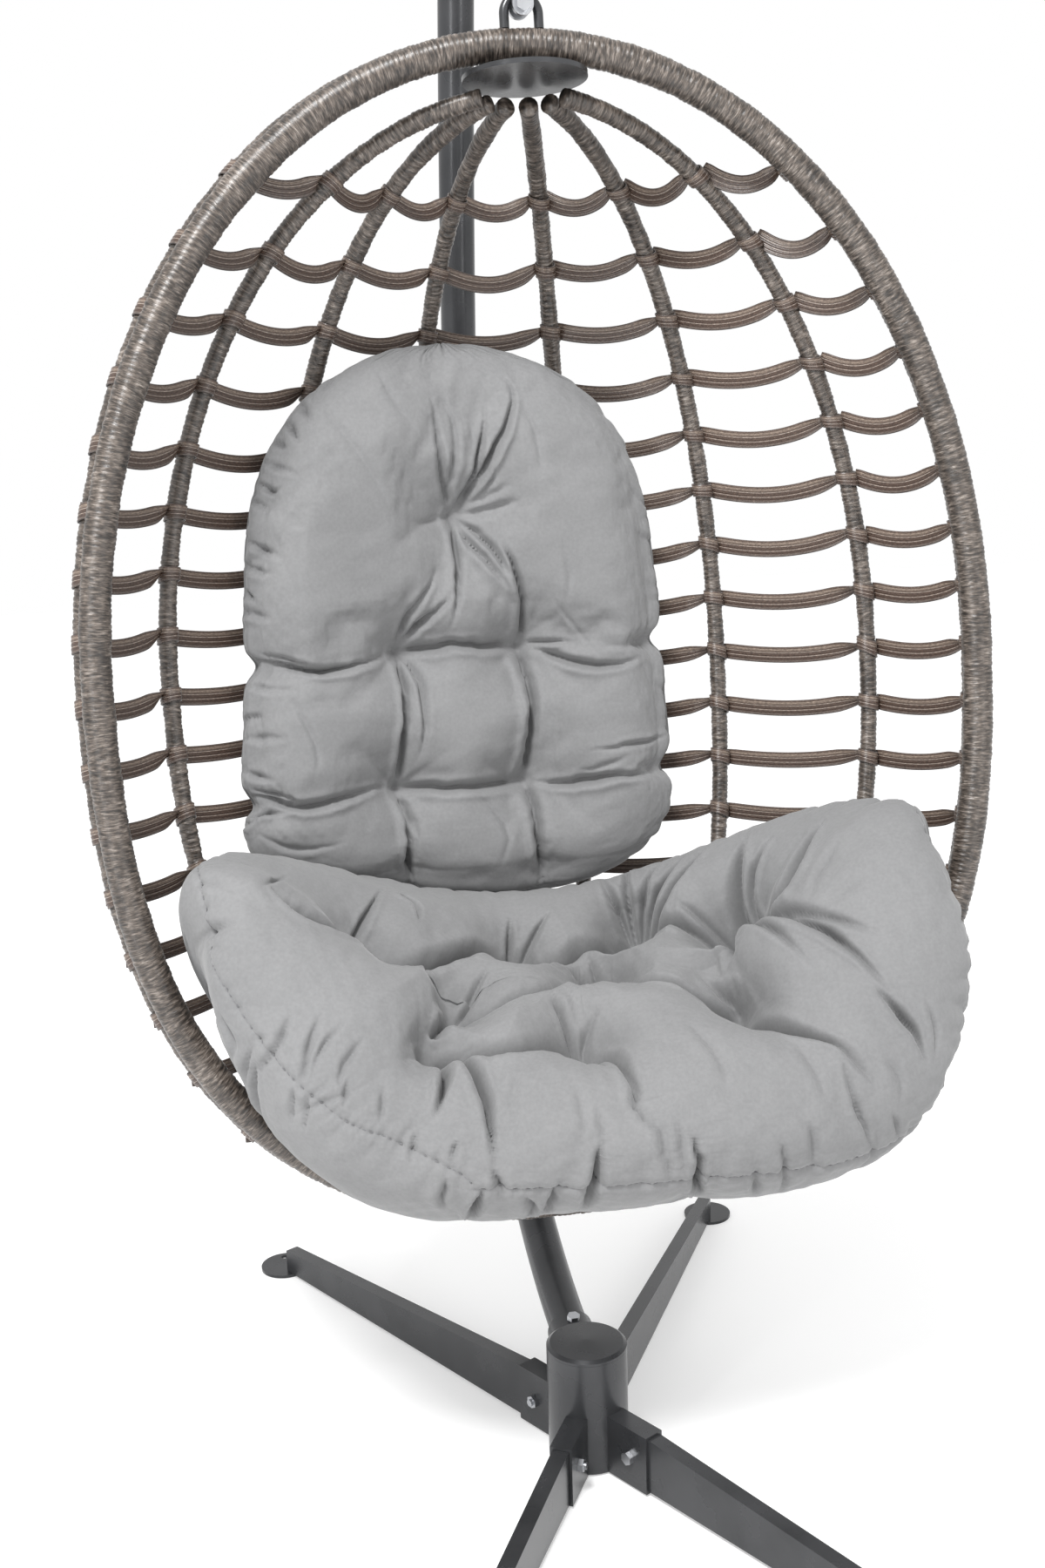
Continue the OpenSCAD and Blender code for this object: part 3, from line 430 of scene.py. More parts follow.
def carrier_axis(c, level):
    """Upward tangent of a carrier at a level, and its outward direction."""
    up = unit(crossing(c, level + 4) - crossing(c, level - 4))
    out = np.array((math.cos(carrier_turn(c)), math.sin(carrier_turn(c)), 0.0))
    return up, unit(out - up * out.dot(up))


RIDGES = 17                    # points across a strap's ridged face
STRAP_THICK, LOOP_THICK = 1.5, 1.2
SPAN_STEPS, LOOP_STEPS = 26, 30
TWIST = (38, 66)               # degrees that a strap turns just before it goes round a rib
FULL_TWIST = 9                 # straps further down than this one turn less


def ribbon(centres, widths_dir, out_dir, half, thick, u0):
    """A ribbon with a ridged face: one cross-section per centre."""
    n = len(centres)
    verts, uvs = [], []
    v = np.linspace(-1, 1, RIDGES)
    relief = 0.28 * np.cos(v * math.pi * 4.5) - 0.35 * np.abs(v) ** 6
    outline = [(k, thick / 2 + relief[k]) for k in range(RIDGES)]
    outline += [(k, -(thick / 2 + relief[k] * 0.7)) for k in range(RIDGES - 1, -1, -4)]
    length = np.concatenate([[0], np.cumsum(np.linalg.norm(np.diff(centres, axis=0), axis=1))])
    for i in range(n):
        for k, lift in outline:
            verts.append(centres[i] + widths_dir[i] * half[i] * v[k] + out_dir[i] * lift)
            uvs.append((u0 + length[i] / 100.0, (v[k] + 1) / 2))
    return verts, tube_faces(n, len(outline), False), uvs


def strap_piece(i):
    rng = np.random.default_rng(100 + i)
    level = -STRAP_LOW + (STRAPS - i) * STRAP_PITCH
    sag = SAG_TOP + (SAG_LOW - SAG_TOP) * (i - 1) / (STRAPS - 1)
    verts, faces, uvs = [], [], []

    def add(v, f, t):
        base = len(verts)
        verts.extend(v)
        uvs.extend(t)
        faces.extend([tuple(base + j for j in face) for face in f])

    for c in range(7):
        a, b = crossing(c, level), crossing(c + 1, level)
        ra = REAR_R if c == 0 else RIB_R
        rb = REAR_R if c == 6 else RIB_R
        out_a = carrier_axis(c, level)[1]
        up_b, out_b = carrier_axis(c + 1, level)
        run = unit(b - a)
        side_out = unit(np.cross(run, (0, 0, 1.0))) * -1.0
        if side_out.dot(out_a + out_b) < 0:
            side_out = -side_out
        start = a + out_a * (ra + 1.0) + run * 1.0
        end = b - run * (rb + 0.6) + out_b * 2.0 + up_b * rng.uniform(1.0, 4.0)
        n = SPAN_STEPS
        t = np.linspace(0, 1, n)
        ease = smooth_step(t)
        my_sag = sag * rng.uniform(0.8, 1.2)
        centre = start[None] * (1 - t[:, None]) + end[None] * t[:, None]
        centre[:, 2] -= 4 * my_sag * t * (1 - t) * (1 + 0.25 * (t - 0.4))
        centre += side_out[None] * (4.0 * (t * (1 - t))[:, None])
        twist = np.radians(rng.uniform(*TWIST)) * np.clip((t - 0.80) / 0.20, 0, 1) ** 1.6
        if i > FULL_TWIST:
            twist *= 0.75
        bend = np.radians(rng.uniform(-6, 6)) * np.sin(t * math.pi)
        grad = unit(np.gradient(centre, axis=0))
        widths, outs = [], []
        for j in range(n):
            out = out_a * (1 - ease[j]) + (side_out if j < n - 6 else out_b) * ease[j]
            across = np.cross(grad[j], side_out)
            across = unit(across) * (1.0 if across[2] > 0 else -1.0)
            normal = unit(np.cross(across, grad[j]))
            if normal.dot(side_out) > 0:
                normal = -normal
            q = twist[j] + bend[j]
            widths.append(math.cos(q) * across + math.sin(q) * normal)
            outs.append(unit(math.cos(q) * normal - math.sin(q) * across))
        half = np.full(n, STRAP_H / 2 * 0.97)
        half *= 1 - 0.42 * np.clip((t - 0.82) / 0.18, 0, 1) ** 1.5
        half *= 1 - 0.12 * np.clip((0.06 - t) / 0.06, 0, 1)
        add(*ribbon(centre, np.array(widths), np.array(outs), half, STRAP_THICK, rng.uniform(0, 5)))

    for c in range(8):
        p = crossing(c, level)
        up, out = carrier_axis(c, level)
        r = (REAR_R if c in (0, 7) else RIB_R) + 0.55
        tangent = np.cross(up, out)
        lean = rng.uniform(2.0, 5.0)
        n = LOOP_STEPS
        phi = np.linspace(0, 2 * math.pi, n)
        shift = -lean * np.cos(phi + 0.6)
        radial = np.cos(phi)[:, None] * out[None] + np.sin(phi)[:, None] * tangent[None]
        swell = 0.5 * np.sin(phi * 3 + rng.uniform(0, 6))
        centre = p[None] + radial * (r + 0.8 + 0.4 * swell)[:, None] + up[None] * shift[:, None]
        half = np.full(n, STRAP_H / 2 * rng.uniform(0.86, 1.0))
        half *= 1 - 0.18 * np.sin(phi / 2) ** 2
        add(*ribbon(centre, np.repeat(up[None], n, 0), radial, half, LOOP_THICK, rng.uniform(0, 5)))
    name = "strap_%02d" % i
    piece = add_mesh(name + "_ridged", place(np.array(verts)), faces, STRAP, uv=np.array(uvs))
    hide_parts(name)


for i in range(1, STRAPS + 1):
    strap_piece(i)

# ---------------------------------------------------------------- folds in the cushions' cloth
# Rows of two say which ends of the folds below them stay deep, and how large the lip beside each is,
# as a share of its depth. Each other row is one fold: its depth, its width, the depth of the valley
# it lies in, and its course over the cushion as x, y, z, x, y, z ... in basket millimetres. S1 to S9
# and B1 to B5 are points over the tufts, where folds start or end.
S1, S2, S3, S4, S5, S6, S7, S8, S9 = ((-203, 1, -325), (-39, 82, -369), (79, 93, -351), (171, 24, -338),
    (-125, -35, -375), (34, 38, -387), (149, -86, -395), (-168, -126, -399), (-14, -109, -412))
SEAT_FOLDS = (
    ("both", 0.25),
    (28, 7, 15.3, *S1, -193, -21, -332, -148, 19, -355, -77, 76, -361, *S2),
    ("both", 0.3),
    (32, 7, 15.3, *S2, -3, 75, -377, 34, 87, -367, *S3),
    (24, 6, 13.6, *S3, 114, 73, -347, 142, 46, -346, 157, 23, -348, *S4),
    ("end", 0.3),
    (18, 5, 0, 136, 77, -335, 150, 54, -337, 159, 34, -342, *S4),
    ("start", 0.3),
    (24, 4, 5.1, *S5, -120, -24, -375, -109, -3, -378, -90, 23, -379),
    (20, 4.5, 5.1, *S6, 26, 36, -387, 19, 55, -384, -2, 59, -384),
    (26, 4.5, 10.2, *S3, 79, 124, -340, 81, 162, -329, 81, 214, -328),
    (24, 4, 3.4, *S3, 89, 128, -336, 118, 208, -321, 140, 200, -315),
    (22, 4, 0, *S3, 100, 121, -335, 132, 167, -315, 164, 190, -307),
    (22, 5, 3.4, *S3, 102, 109, -338, 147, 142, -313, 192, 177, -297),
    (16, 5, 0, *S3, 126, 97, -332, 184, 139, -298, 217, 165, -287),
    (18, 4.5, 0, *S4, 184, 16, -333, 196, 47, -313, 236, 71, -284, 260, 82, -269),
    (26, 4, 6.8, *S8, -163, -148, -415, -174, -169, -438, -186, -180, -467),
    ("both", 0.2),
    (24, 7, 15.3, *S5, -93, -44, -386, -24, -7, -389, *S6),
    (22, 4.5, 6.8, -156, -99, -387, -139, -67, -378, -130, -53, -377, *S5),
    (24, 7, 15.3, *S8, -134, -130, -409, -85, -130, -414, -30, -96, -407, *S9),
    (20, 4.5, 8.5, *S9, -21, -88, -405, -27, -73, -401, -32, -53, -395),
    ("both", 0.35),
    (32, 6, 17, *S6, 53, 8, -388, 73, -21, -387, 109, -53, -389, 132, -66, -388, *S7),
    ("start", 0.2),
    (16, 4.5, 0, *S9, -9, -81, -404, 12, -63, -399),
    (20, 3.5, 5.1, *S1, -216, -16, -316, -208, 38, -310, -190, 104, -300),
    (12, 3.5, 0, -169, 96, -313, -157, 87, -321, -156, 54, -334),
    (18, 3.5, 6.8, *S2, -42, 96, -360, -42, 135, -344),
    (16, 4, 0, *S2, -22, 102, -359, 4, 137, -347),
    (16, 4, 0, *S6, 35, 45, -385, 30, 69, -378),
    (14, 5, 0, *S7, 147, -59, -378, 148, -35, -367),
    (18, 5, 3.4, *S4, 189, -24, -338, 211, -87, -360, 224, -112, -381),
    ("start", 0.35),
    (26, 5, 8.5, *S7, 143, -61, -381, 135, -39, -375, 122, -5, -374),
    (26, 5, 10.2, *S4, 170, 20, -341, 185, 55, -317, 225, 101, -283, 248, 129, -271),
    ("start", 0.4),
    (32, 6, 13.6, *S4, 200, 4, -326, 235, -1, -303, 286, 31, -266, 310, 44, -251),
    (24, 6, 11.9, *S4, 198, -5, -328, 227, -61, -327, 271, -101, -341, 304, -118, -355),
    (30, 5, 8.5, *S4, 195, -7, -331, 226, -69, -334, 256, -108, -357, 278, -131, -384, 297, -148, -414),
    (28, 5, 10.2, *S7, 172, -117, -410, 194, -143, -425, 220, -161, -439, 250, -174, -461),
    (28, 4.5, 8.5, *S9, 8, -126, -417, 13, -161, -431, 13, -194, -470, 24, -201, -501),
    (30, 4.5, 10.2, *S8, -149, -130, -407, -137, -157, -424, -132, -180, -450, -132, -191, -485,
     -131, -189, -524),
    ("none", 0.4),
    (26, 5, 8.5, 276, -139, -398, 292, -151, -419, 309, -159, -445, 320, -163, -480),
    (30, 4, 8.5, 57, -200, -496, 65, -199, -526, 67, -183, -568, 80, -134, -610, 62, -136, -609),
    (12.1, 4.5, 5.1, -343, -120, -401, -351, -102, -442, -339, -81, -481, -324, -91, -502),
    (24, 4, 5.1, -142, -185, -533, -150, -168, -562, -153, -127, -594),
    (12.1, 4, 5.1, -70, -195, -528, -77, -180, -561, -88, -131, -602),
    (24, 5, 6.8, -26, -199, -491, -35, -196, -532, -40, -178, -569, -41, -133, -605),
    ("none", 0.3),
    (9.9, 5, 0, 209, -155, -434, 232, -168, -449, 251, -178, -474, 266, -180, -496),
    (12.1, 4, 5.1, 227, -170, -451, 234, -183, -487, 243, -183, -525, 257, -161, -569),
    (9.9, 6, 5.1, -343, -74, -280, -379, -66, -288, -406, -15, -321, -408, -7, -342),
    (8.8, 4.5, 3.4, -278, -127, -362, -296, -143, -400, -309, -145, -439),
    (8.8, 4.5, 0, -304, -125, -359, -325, -130, -393, -351, -108, -430),
    (7.7, 4, 0, -259, -134, -375, -286, -146, -401, -299, -150, -432),
    (9.9, 4, 0, -177, -182, -520, -181, -170, -547, -177, -158, -566),
    (9.9, 4, 0, -109, -187, -539, -95, -172, -570, -99, -131, -601),
    (8.8, 4.5, 0, 18, -192, -464, 29, -200, -494, 34, -198, -531, 42, -183, -566),
    (7.7, 4, 0, 147, -196, -513, 157, -184, -560, 164, -133, -609),
    (6.6, 6, 0, 268, -170, -456, 286, -175, -487, 282, -176, -516),
    ("none", 0.2),
    (9.9, 4, 0, -135, -191, -514, -129, -187, -533, -120, -175, -560),
    (7.7, 3.5, 0, -334, -44, -255, -317, -22, -254, -293, 44, -259),
    (7.7, 4, 0, -238, -140, -389, -264, -154, -411, -273, -161, -441),
    (8.8, 4, 0, -343, -118, -383, -357, -96, -431, -348, -76, -466),
    (6.6, 3.5, 0, -312, -143, -427, -317, -134, -470),
    (6.6, 3.5, 0, -299, -150, -436, -306, -142, -478),
    (6.6, 3.5, 0, -261, -158, -420, -269, -164, -452),
    (6.6, 3.5, 0, -228, -165, -430, -237, -173, -468),
    (6.6, 3.5, 0, -203, -179, -473, -210, -177, -509),
    (7.7, 3.5, 0, -165, -186, -482, -172, -184, -517),
    (5.5, 5, 0, -46, -179, -444, -44, -196, -477, -52, -199, -507),
    (6.6, 4.5, 0, 47, -197, -481, 49, -200, -514, 57, -188, -559),
    (5.5, 5, 0, -31, -189, -459, -26, -198, -483, -22, -200, -510),
    (5.5, 6, 0, -90, -157, -425, -108, -180, -448, -105, -195, -493),
    (7.7, 4, 0, 120, -192, -545, 141, -134, -609),
    (6.6, 5, 0, 180, -193, -507, 190, -177, -567),
    (6.6, 4, 0, 327, -144, -415, 336, -152, -452, 328, -159, -481),
    (5.5, 6, 0, 185, -155, -437, 199, -179, -466, 202, -190, -502),
    (5.5, 7, 0, 81, -118, -417, 103, -166, -440, 99, -196, -486),
    (6.6, 4, 0, -397, -1, -366, -377, -80, -378, -374, -76, -403),
    (6.6, 4, 0, -381, -78, -356, -364, -98, -392, -368, -77, -421),
    (6.6, 4, 0, 273, -178, -519, 290, -154, -559),
    (6.6, 5, 0, 299, -14, -264, 258, -38, -296, 232, -66, -328),
    (5.5, 7, 0, 313, -76, -295, 274, -73, -310, 243, -74, -328),
    ("end", 0.35),
    (26, 7, 13.6, -327, -27, -250, -295, -41, -272, -255, -31, -292, -216, 0, -315, *S1),
)
B1, B2, B3, B4, B5 = ((-136, 208, -39), (6, 226, -42), (-148, 202, -198), (3, 223, -204), (-66, 206, 112))
BACK_FOLDS = (
    ("none", 0.3),
    (17, 5, 9, -321, 190, -31, -276, 171, -43, -231, 181, -50, -185, 195, -47, -138, 207, -38),
    (16, 5, 9, 6, 226, -43, 35, 226, -50, 69, 225, -65, 112, 224, -73, 163, 230, -64),
    (16, 5, 9, -337, 177, -188, -318, 159, -195, -269, 166, -204, -218, 181, -200, -174, 195, -195,
     -154, 201, -198),
    (15, 5, 9, 1, 223, -205, 40, 222, -210, 82, 220, -206, 125, 220, -204, 179, 232, -208),
    (7, 4, 2, -259, 181, 228, -252, 160, 221, -243, 155, 197),
    (7, 4, 2, -273, 180, 208, -266, 161, 205, -257, 156, 198),
    (6, 4, 0, -286, 180, 186, -265, 156, 177, -246, 157, 165),
    (8, 4, 2, -295, 180, 165, -283, 159, 155, -267, 157, 158),
    (6, 4, 0, -302, 181, 143, -287, 160, 135),
    (7, 4, 2, -312, 183, 102, -296, 163, 89, -271, 164, 80),
    (6, 4, 0, -316, 185, 71, -286, 164, 64),
    (7, 4, 0, -318, 187, 43, -308, 170, 32),
    (5, 4, 0, -319, 188, 20, -289, 168, 15),
    (6, 5, 2, -237, 183, 250, -236, 162, 240, -225, 155, 218),
    (5, 4, 0, -324, 189, -63, -308, 170, -68, -267, 172, -76),
    (5, 4, 0, -328, 186, -102, -310, 168, -98),
    (5, 4, 0, -331, 184, -125, -282, 167, -124),
    (6, 4, 0, -334, 180, -159, -316, 162, -167, -300, 161, -173),
    (7, 3, 2, 187, 248, -162, 151, 224, -166, 106, 221, -169, 71, 222, -172),
    (9, 4, 2, -338, 174, -215, -319, 158, -209, -286, 161, -211),
    (6, 4, 0, -336, 173, -233, -337, 174, -224, -318, 157, -219),
    ("both", 0.3),
    (16, 5, 9, *B1, -77, 219, -35, -35, 224, -39, *B2),
    (15, 5, 9, *B3, -87, 215, -203, -45, 220, -204, *B4),
    (14, 4.5, 7, *B1, -136, 208, -82, -143, 206, -132, -144, 204, -172, *B3),
    (14, 4.5, 7, *B3, -142, 203, -229, -143, 203, -265, -146, 209, -299, -148, 241, -326),
    ("none", 0.2),
    (7, 3, 0, -314, 175, -23, -266, 172, -36, -224, 183, -47),
    (7, 3, 0, -332, 167, -178, -298, 160, -191, -262, 168, -201),
    (7, 4, 0, -145, 202, -214, -135, 205, -246, -141, 207, -290),
    (4, 4, 0, 132, 221, -179, 87, 221, -193, 51, 222, -198),
    (2.5, 5, 0, -219, 184, 265, -208, 156, 229, -172, 173, 170, -144, 192, 109),
    (2.5, 5, 0, -154, 168, 280, -133, 170, 236, -107, 181, 203),
    (3, 5, 0, 14, 187, 240, 31, 194, 202, 36, 206, 140),
    (2, 4, 0, 54, 214, 91, 64, 220, 39, 52, 224, -24),
    (3, 3, 0, 42, 222, 20, 71, 224, -23, 102, 224, -64),
    (3, 4, 0, -279, 169, -79, -254, 173, -140, -261, 169, -180),
    (4, 4, 0, -330, 161, -233, -283, 162, -253, -221, 180, -250),
    (4, 5, 0, -68, 218, -206, -28, 220, -257, -42, 224, -309),
    ("start", 0.2),
    (10, 4, 2, *B5, -77, 198, 149, -84, 189, 187, -87, 181, 226, -95, 176, 256),
    (7, 4, 0, *B5, -71, 200, 145, -64, 189, 200, -70, 182, 230, -88, 177, 253),
    (7, 4, 0, *B5, -35, 205, 136, -18, 201, 159, -20, 196, 182),
    (7, 5, 2, *B5, -26, 209, 120, 18, 208, 132),
    (5, 5, 0, *B5, -7, 211, 112),
    (6, 5, 0, *B5, -34, 206, 131, 6, 204, 151),
    (7, 4, 0, *B1, -132, 208, -7, -126, 207, 21),
    ("start", 0.3),
    (14, 3.5, 4, *B5, -46, 202, 148, -35, 196, 180, -26, 190, 214, -24, 185, 241),
    (13, 4, 5, *B5, -64, 213, 69, -69, 217, 26, -75, 218, 1, -83, 218, -20),
    (9, 4, 2, *B5, -50, 213, 85, -25, 218, 55, 0, 222, 23),
    (9, 4, 0, *B5, -34, 214, 87, -10, 219, 55, 7, 223, 18),
    (13, 4, 5, *B1, -117, 211, -12, -90, 215, 12, -71, 216, 34),
    (9, 4, 0, *B1, -129, 208, -2, -110, 210, 29, -87, 211, 61),
    (9, 3, 2, *B2, 40, 225, -39, 75, 224, -43),
    (10, 4, 2, *B1, -119, 212, -66, -116, 213, -103, -119, 211, -144, -131, 207, -179),
    ("start", 0.4),
    (15, 4, 5, *B5, -50, 205, 132, -27, 199, 170, -5, 193, 204, 8, 187, 237, 5, 185, 257, -9, 185, 272),
    ("end", 0.4),
    (14, 4, 6, -15, 214, 89, 1, 219, 53, 11, 223, 11, 12, 225, -21, *B2),
    ("both", 0.4),
    (17, 5, 8, *B2, 13, 226, -76, 14, 226, -124, 10, 224, -165, *B4),
    (15, 5, 7, *B4, 12, 221, -239, 13, 222, -283, 20, 240, -338),
    ("none", 0),
    (-1.6, 2.2, 0, 44, 225, -63, 46, 225, -106, 42, 224, -157, 38, 221, -242, 35, 228, -318),
)
FOLD_STEP = 3.0                # the course of a fold is sampled this finely
VALLEY_WIDTH, VALLEY_REACH = 25.0, 46.0
SHARP_POWER = 2.5              # joins crossing folds without adding up their depths
LIP_MOST = 5.0


def curve_through(points, step):
    """A smooth curve through the points, sampled at the given step."""
    p = np.asarray(points, float)
    p = np.vstack([2 * p[0] - p[1], p, 2 * p[-1] - p[-2]])
    out = []
    for a, b, c, d in zip(p, p[1:], p[2:], p[3:]):
        n = max(2, int(np.linalg.norm(c - b) / step))
        t = np.arange(n)[:, None] / n
        out.append(0.5 * (2 * b + (c - a) * t + (2 * a - 5 * b + 4 * c - d) * t ** 2
                          + (3 * b - a - 3 * c + d) * t ** 3))
    return np.vstack(out + [p[-2:-1]])


def grid_normals(grid):
    around = np.roll(grid, -1, axis=1) - np.roll(grid, 1, axis=1)
    n = unit(np.cross(around, np.gradient(grid, axis=0)))
    return -n if (n * (grid - grid.mean((0, 1)))).sum() < 0 else n


def point_tree(points):
    tree = KDTree(len(points))
    for i, p in enumerate(points):
        tree.insert(p, i)
    tree.balance()
    return tree


def fold_relief(grid, normal, folds):
    """How far the folds draw the cloth in: (valleys, sharp folds less their lips)."""
    flat, out = grid.reshape(-1, 3), normal.reshape(-1, 3)
    tree = point_tree(flat)
    valley, sharp, lips = np.zeros(len(flat)), np.zeros(len(flat)), np.zeros(len(flat))
    for row in folds:
        if len(row) == 2:
            ends, lip = row
            continue
        depth, width, wide, *course = row
        hits = [tree.find(p) for p in curve_through(np.reshape(course, (-1, 3)), FOLD_STEP)]
        line = np.array([h[0] for h in hits])
        for _ in range(3):
            line[1:-1] = (line[:-2] + 2 * line[1:-1] + line[2:]) / 4
        up = out[[h[1] for h in hits]]
        tangent = unit(np.gradient(line, axis=0))
        reach = VALLEY_REACH if wide else width * 5
        near = np.nonzero(((flat > line.min(0) - reach) & (flat < line.max(0) + reach)).all(1))[0]
        gap = flat[near][:, None] - line[None]
        k = (gap ** 2).sum(-1).argmin(1)
        gap = gap[np.arange(len(near)), k]
        t = k / (len(line) - 1.0)
        ahead = (gap * tangent[k]).sum(-1)
        inner = (k > 0) & (k < len(line) - 1)
        d = np.sqrt(np.maximum((gap ** 2).sum(-1) - np.where(inner, ahead ** 2, 0), 0))
        side = np.where((np.cross(tangent[k], up[k]) * gap).sum(-1) > 0, 1.0, -1.0)
        full = np.ones(len(near))
        if ends in ("none", "end"):
            full *= smooth_step(t / 0.45 + 0.06)
        if ends in ("none", "start"):
            full *= smooth_step((1 - t) / 0.6 + 0.04)
        full *= (out[near] * up[k]).sum(-1) > 0.1
        w = width * (0.45 + 0.4 * full)
        sharp[near] += np.sign(depth) * np.abs(depth * full * np.exp(-(d / w) ** 1.35)) ** SHARP_POWER
        lips[near] += lip * abs(depth) * full * (bell((side * d - 2.3 * w) / (1.5 * w))
                                                 + 0.4 * bell((side * d + 2.1 * w) / (1.3 * w)))
        if wide:
            valley[near] = np.maximum(valley[near], wide * full * bell(d / VALLEY_WIDTH))
    sharp = np.sign(sharp) * np.abs(sharp) ** (1 / SHARP_POWER)
    relief = sharp - np.minimum(lips, LIP_MOST)
    return valley.reshape(grid.shape[:2]), relief.reshape(grid.shape[:2])


TUFT_KNOT = 8.0                # depth of the narrow middle of a pit
PLEATS = 9                     # short pleats round each tuft


def pit_relief(x, y, tufts, deep, rng, radius):
    """The pits at the tufts, with short pleats that run out of them."""
    cut, pleats = np.zeros_like(x), np.zeros_like(x)
    for t, depth in zip(tufts, deep):
        r = np.hypot(x - t[0], y - t[1])
        a = np.arctan2(y - t[1], x - t[0])
        cut = np.maximum(cut, (depth - TUFT_KNOT) * (0.74 * bell(r / radius) + 0.26 * np.exp(-r / 40))
                         + TUFT_KNOT * np.exp(-r / 7))
        for _ in range(PLEATS):
            at, width = rng.uniform(-math.pi, math.pi), rng.uniform(0.05, 0.11)
            reach, strength = rng.uniform(26, 60), rng.uniform(2.0, 5.5)
            off = np.angle(np.exp(1j * (a - at - rng.uniform(-0.4, 0.4) * r / 80)))
            pleats += strength * np.exp(-(np.abs(off) * r / (2.4 + width * r)) ** 1.3) * bell(r / reach)
    return cut, pleats * still_near(x, y, tufts)


def still_near(x, y, tufts, share=0.92, reach=17.0):
    """Less than one right at the tufts, so that the folds don't pile up in a pit."""
    r = np.min([np.hypot(x - t[0], y - t[1]) for t in tufts], axis=0)
    return 1 - share * bell(r / reach)


def waves(points, rng, lengths, count=10):
    """Slow unevenness from -1 to 1: a sum of plane waves with random directions."""
    total = np.zeros(points.shape[:-1])
    for _ in range(count):
        k = rng.normal(size=3)
        k *= 2 * math.pi / np.linalg.norm(k) / rng.uniform(*lengths)
        total += np.sin(points @ k + rng.uniform(0, 6.28))
    return total / math.sqrt(count * 2)


def gathers(count, total, rng, reach, depth):
    """Short folds that cross a seam: place along it, width, depth, reach on either side, slant."""
    at = (np.arange(count) + rng.uniform(-0.4, 0.4, count)) * total / count
    return [(a, rng.uniform(3.0, 6.5), rng.uniform(*depth), rng.uniform(*reach), rng.uniform(*reach),
             rng.uniform(-0.35, 0.35)) for a in at]


def gather_relief(along, off, total, folds):
    """off is the distance from the seam: positive on the upper side, negative below."""
    relief = np.zeros_like(along)
    for at, width, depth, up, down, slope in folds:
        d = (along - at - slope * off + total / 2) % total - total / 2
        reach = np.where(off >= 0, up, down)
        w = width * (1 + np.abs(off) / 70)
        relief += depth * (np.exp(-(np.abs(d) / w) ** 1.4) - 0.3 * bell((d - 2.2 * w) / (1.5 * w))
                           ) * bell(off / reach)
    return relief


def ring_faces(rings, sides):
    """Faces of stacked closed rings, with one point before the first and one after the last."""
    faces = [(0, 1 + (j + 1) % sides, 1 + j) for j in range(sides)]
    for i in range(rings - 1):
        base = 1 + i * sides
        for j in range(sides):
            a, b = base + j, base + (j + 1) % sides
            faces.append((a, b, b + sides, a + sides))
    last = 1 + rings * sides
    faces += [(last, last - sides + j, last - sides + (j + 1) % sides) for j in range(sides)]
    return faces


def closed_form(rings, first, last):
    return place(np.vstack([first, rings.reshape(-1, 3), last])), ring_faces(rings.shape[0], rings.shape[1])


SIM_FRAMES, SIM_PRESSURE, SIM_SLACK = 18, 4.0, -0.035
PIN_FULL, PIN_REACH = 1.4, 0.026          # held up to 10 mm from a tuft, free 36 mm from it


def coordinates(mesh):
    co = np.zeros(len(mesh.vertices) * 3)
    mesh.vertices.foreach_get("co", co)
    return co.reshape(-1, 3)


def evaluated_copy(piece):
    return bpy.data.meshes.new_from_object(piece.evaluated_get(bpy.context.evaluated_depsgraph_get()))


def inflated(name, rings, first, last, pins, voxel):
    """Blows the cushion up as cloth held at its tufts. Gives the start points and their moves, in mm."""
    verts, faces = closed_form(rings, first, last)
    mesh = bpy.data.meshes.new(name)
    mesh.from_pydata([tuple(v) for v in verts], [], faces)
    work = linked(name, mesh)
    remesh = work.modifiers.new("remesh", "REMESH")
    remesh.mode = "VOXEL"
    remesh.voxel_size = voxel
    even = evaluated_copy(work)
    work.modifiers.clear()
    work.data = even
    start = coordinates(even)
    group = work.vertex_groups.new(name="still")
    gap = np.min([np.linalg.norm(start - t, axis=1) for t in pins], axis=0)
    weight = np.clip(PIN_FULL - gap / PIN_REACH, 0, 1)
    for i in np.nonzero(weight > 0.01)[0]:
        group.add([int(i)], float(weight[i]), "REPLACE")
    cloth = work.modifiers.new("cloth", "CLOTH")
    cs = cloth.settings
    cs.quality = 5
    cs.mass = 0.25
    cs.tension_stiffness = cs.compression_stiffness = 12
    cs.shear_stiffness = 6
    cs.bending_stiffness = 0.35
    cs.air_damping = 2.0
    cs.vertex_group_mass = "still"
    cs.use_pressure = True
    cs.uniform_pressure_force = SIM_PRESSURE
    cs.shrink_min = SIM_SLACK
    cs.effector_weights.gravity = 0
    cloth.collision_settings.use_collision = False
    cloth.point_cache.frame_end = SIM_FRAMES
    scene = bpy.context.scene
    for f in range(1, SIM_FRAMES + 1):
        scene.frame_set(f)
    done = evaluated_copy(work)
    scene.frame_set(1)
    end = coordinates(done)
    bpy.data.objects.remove(work)
    bpy.data.meshes.remove(done)
    return (start * 1000.0 - ORIGIN) @ TURN, (end - start) @ TURN * 1000.0


COARSE = 3                     # every third point of the fine grid is looked up


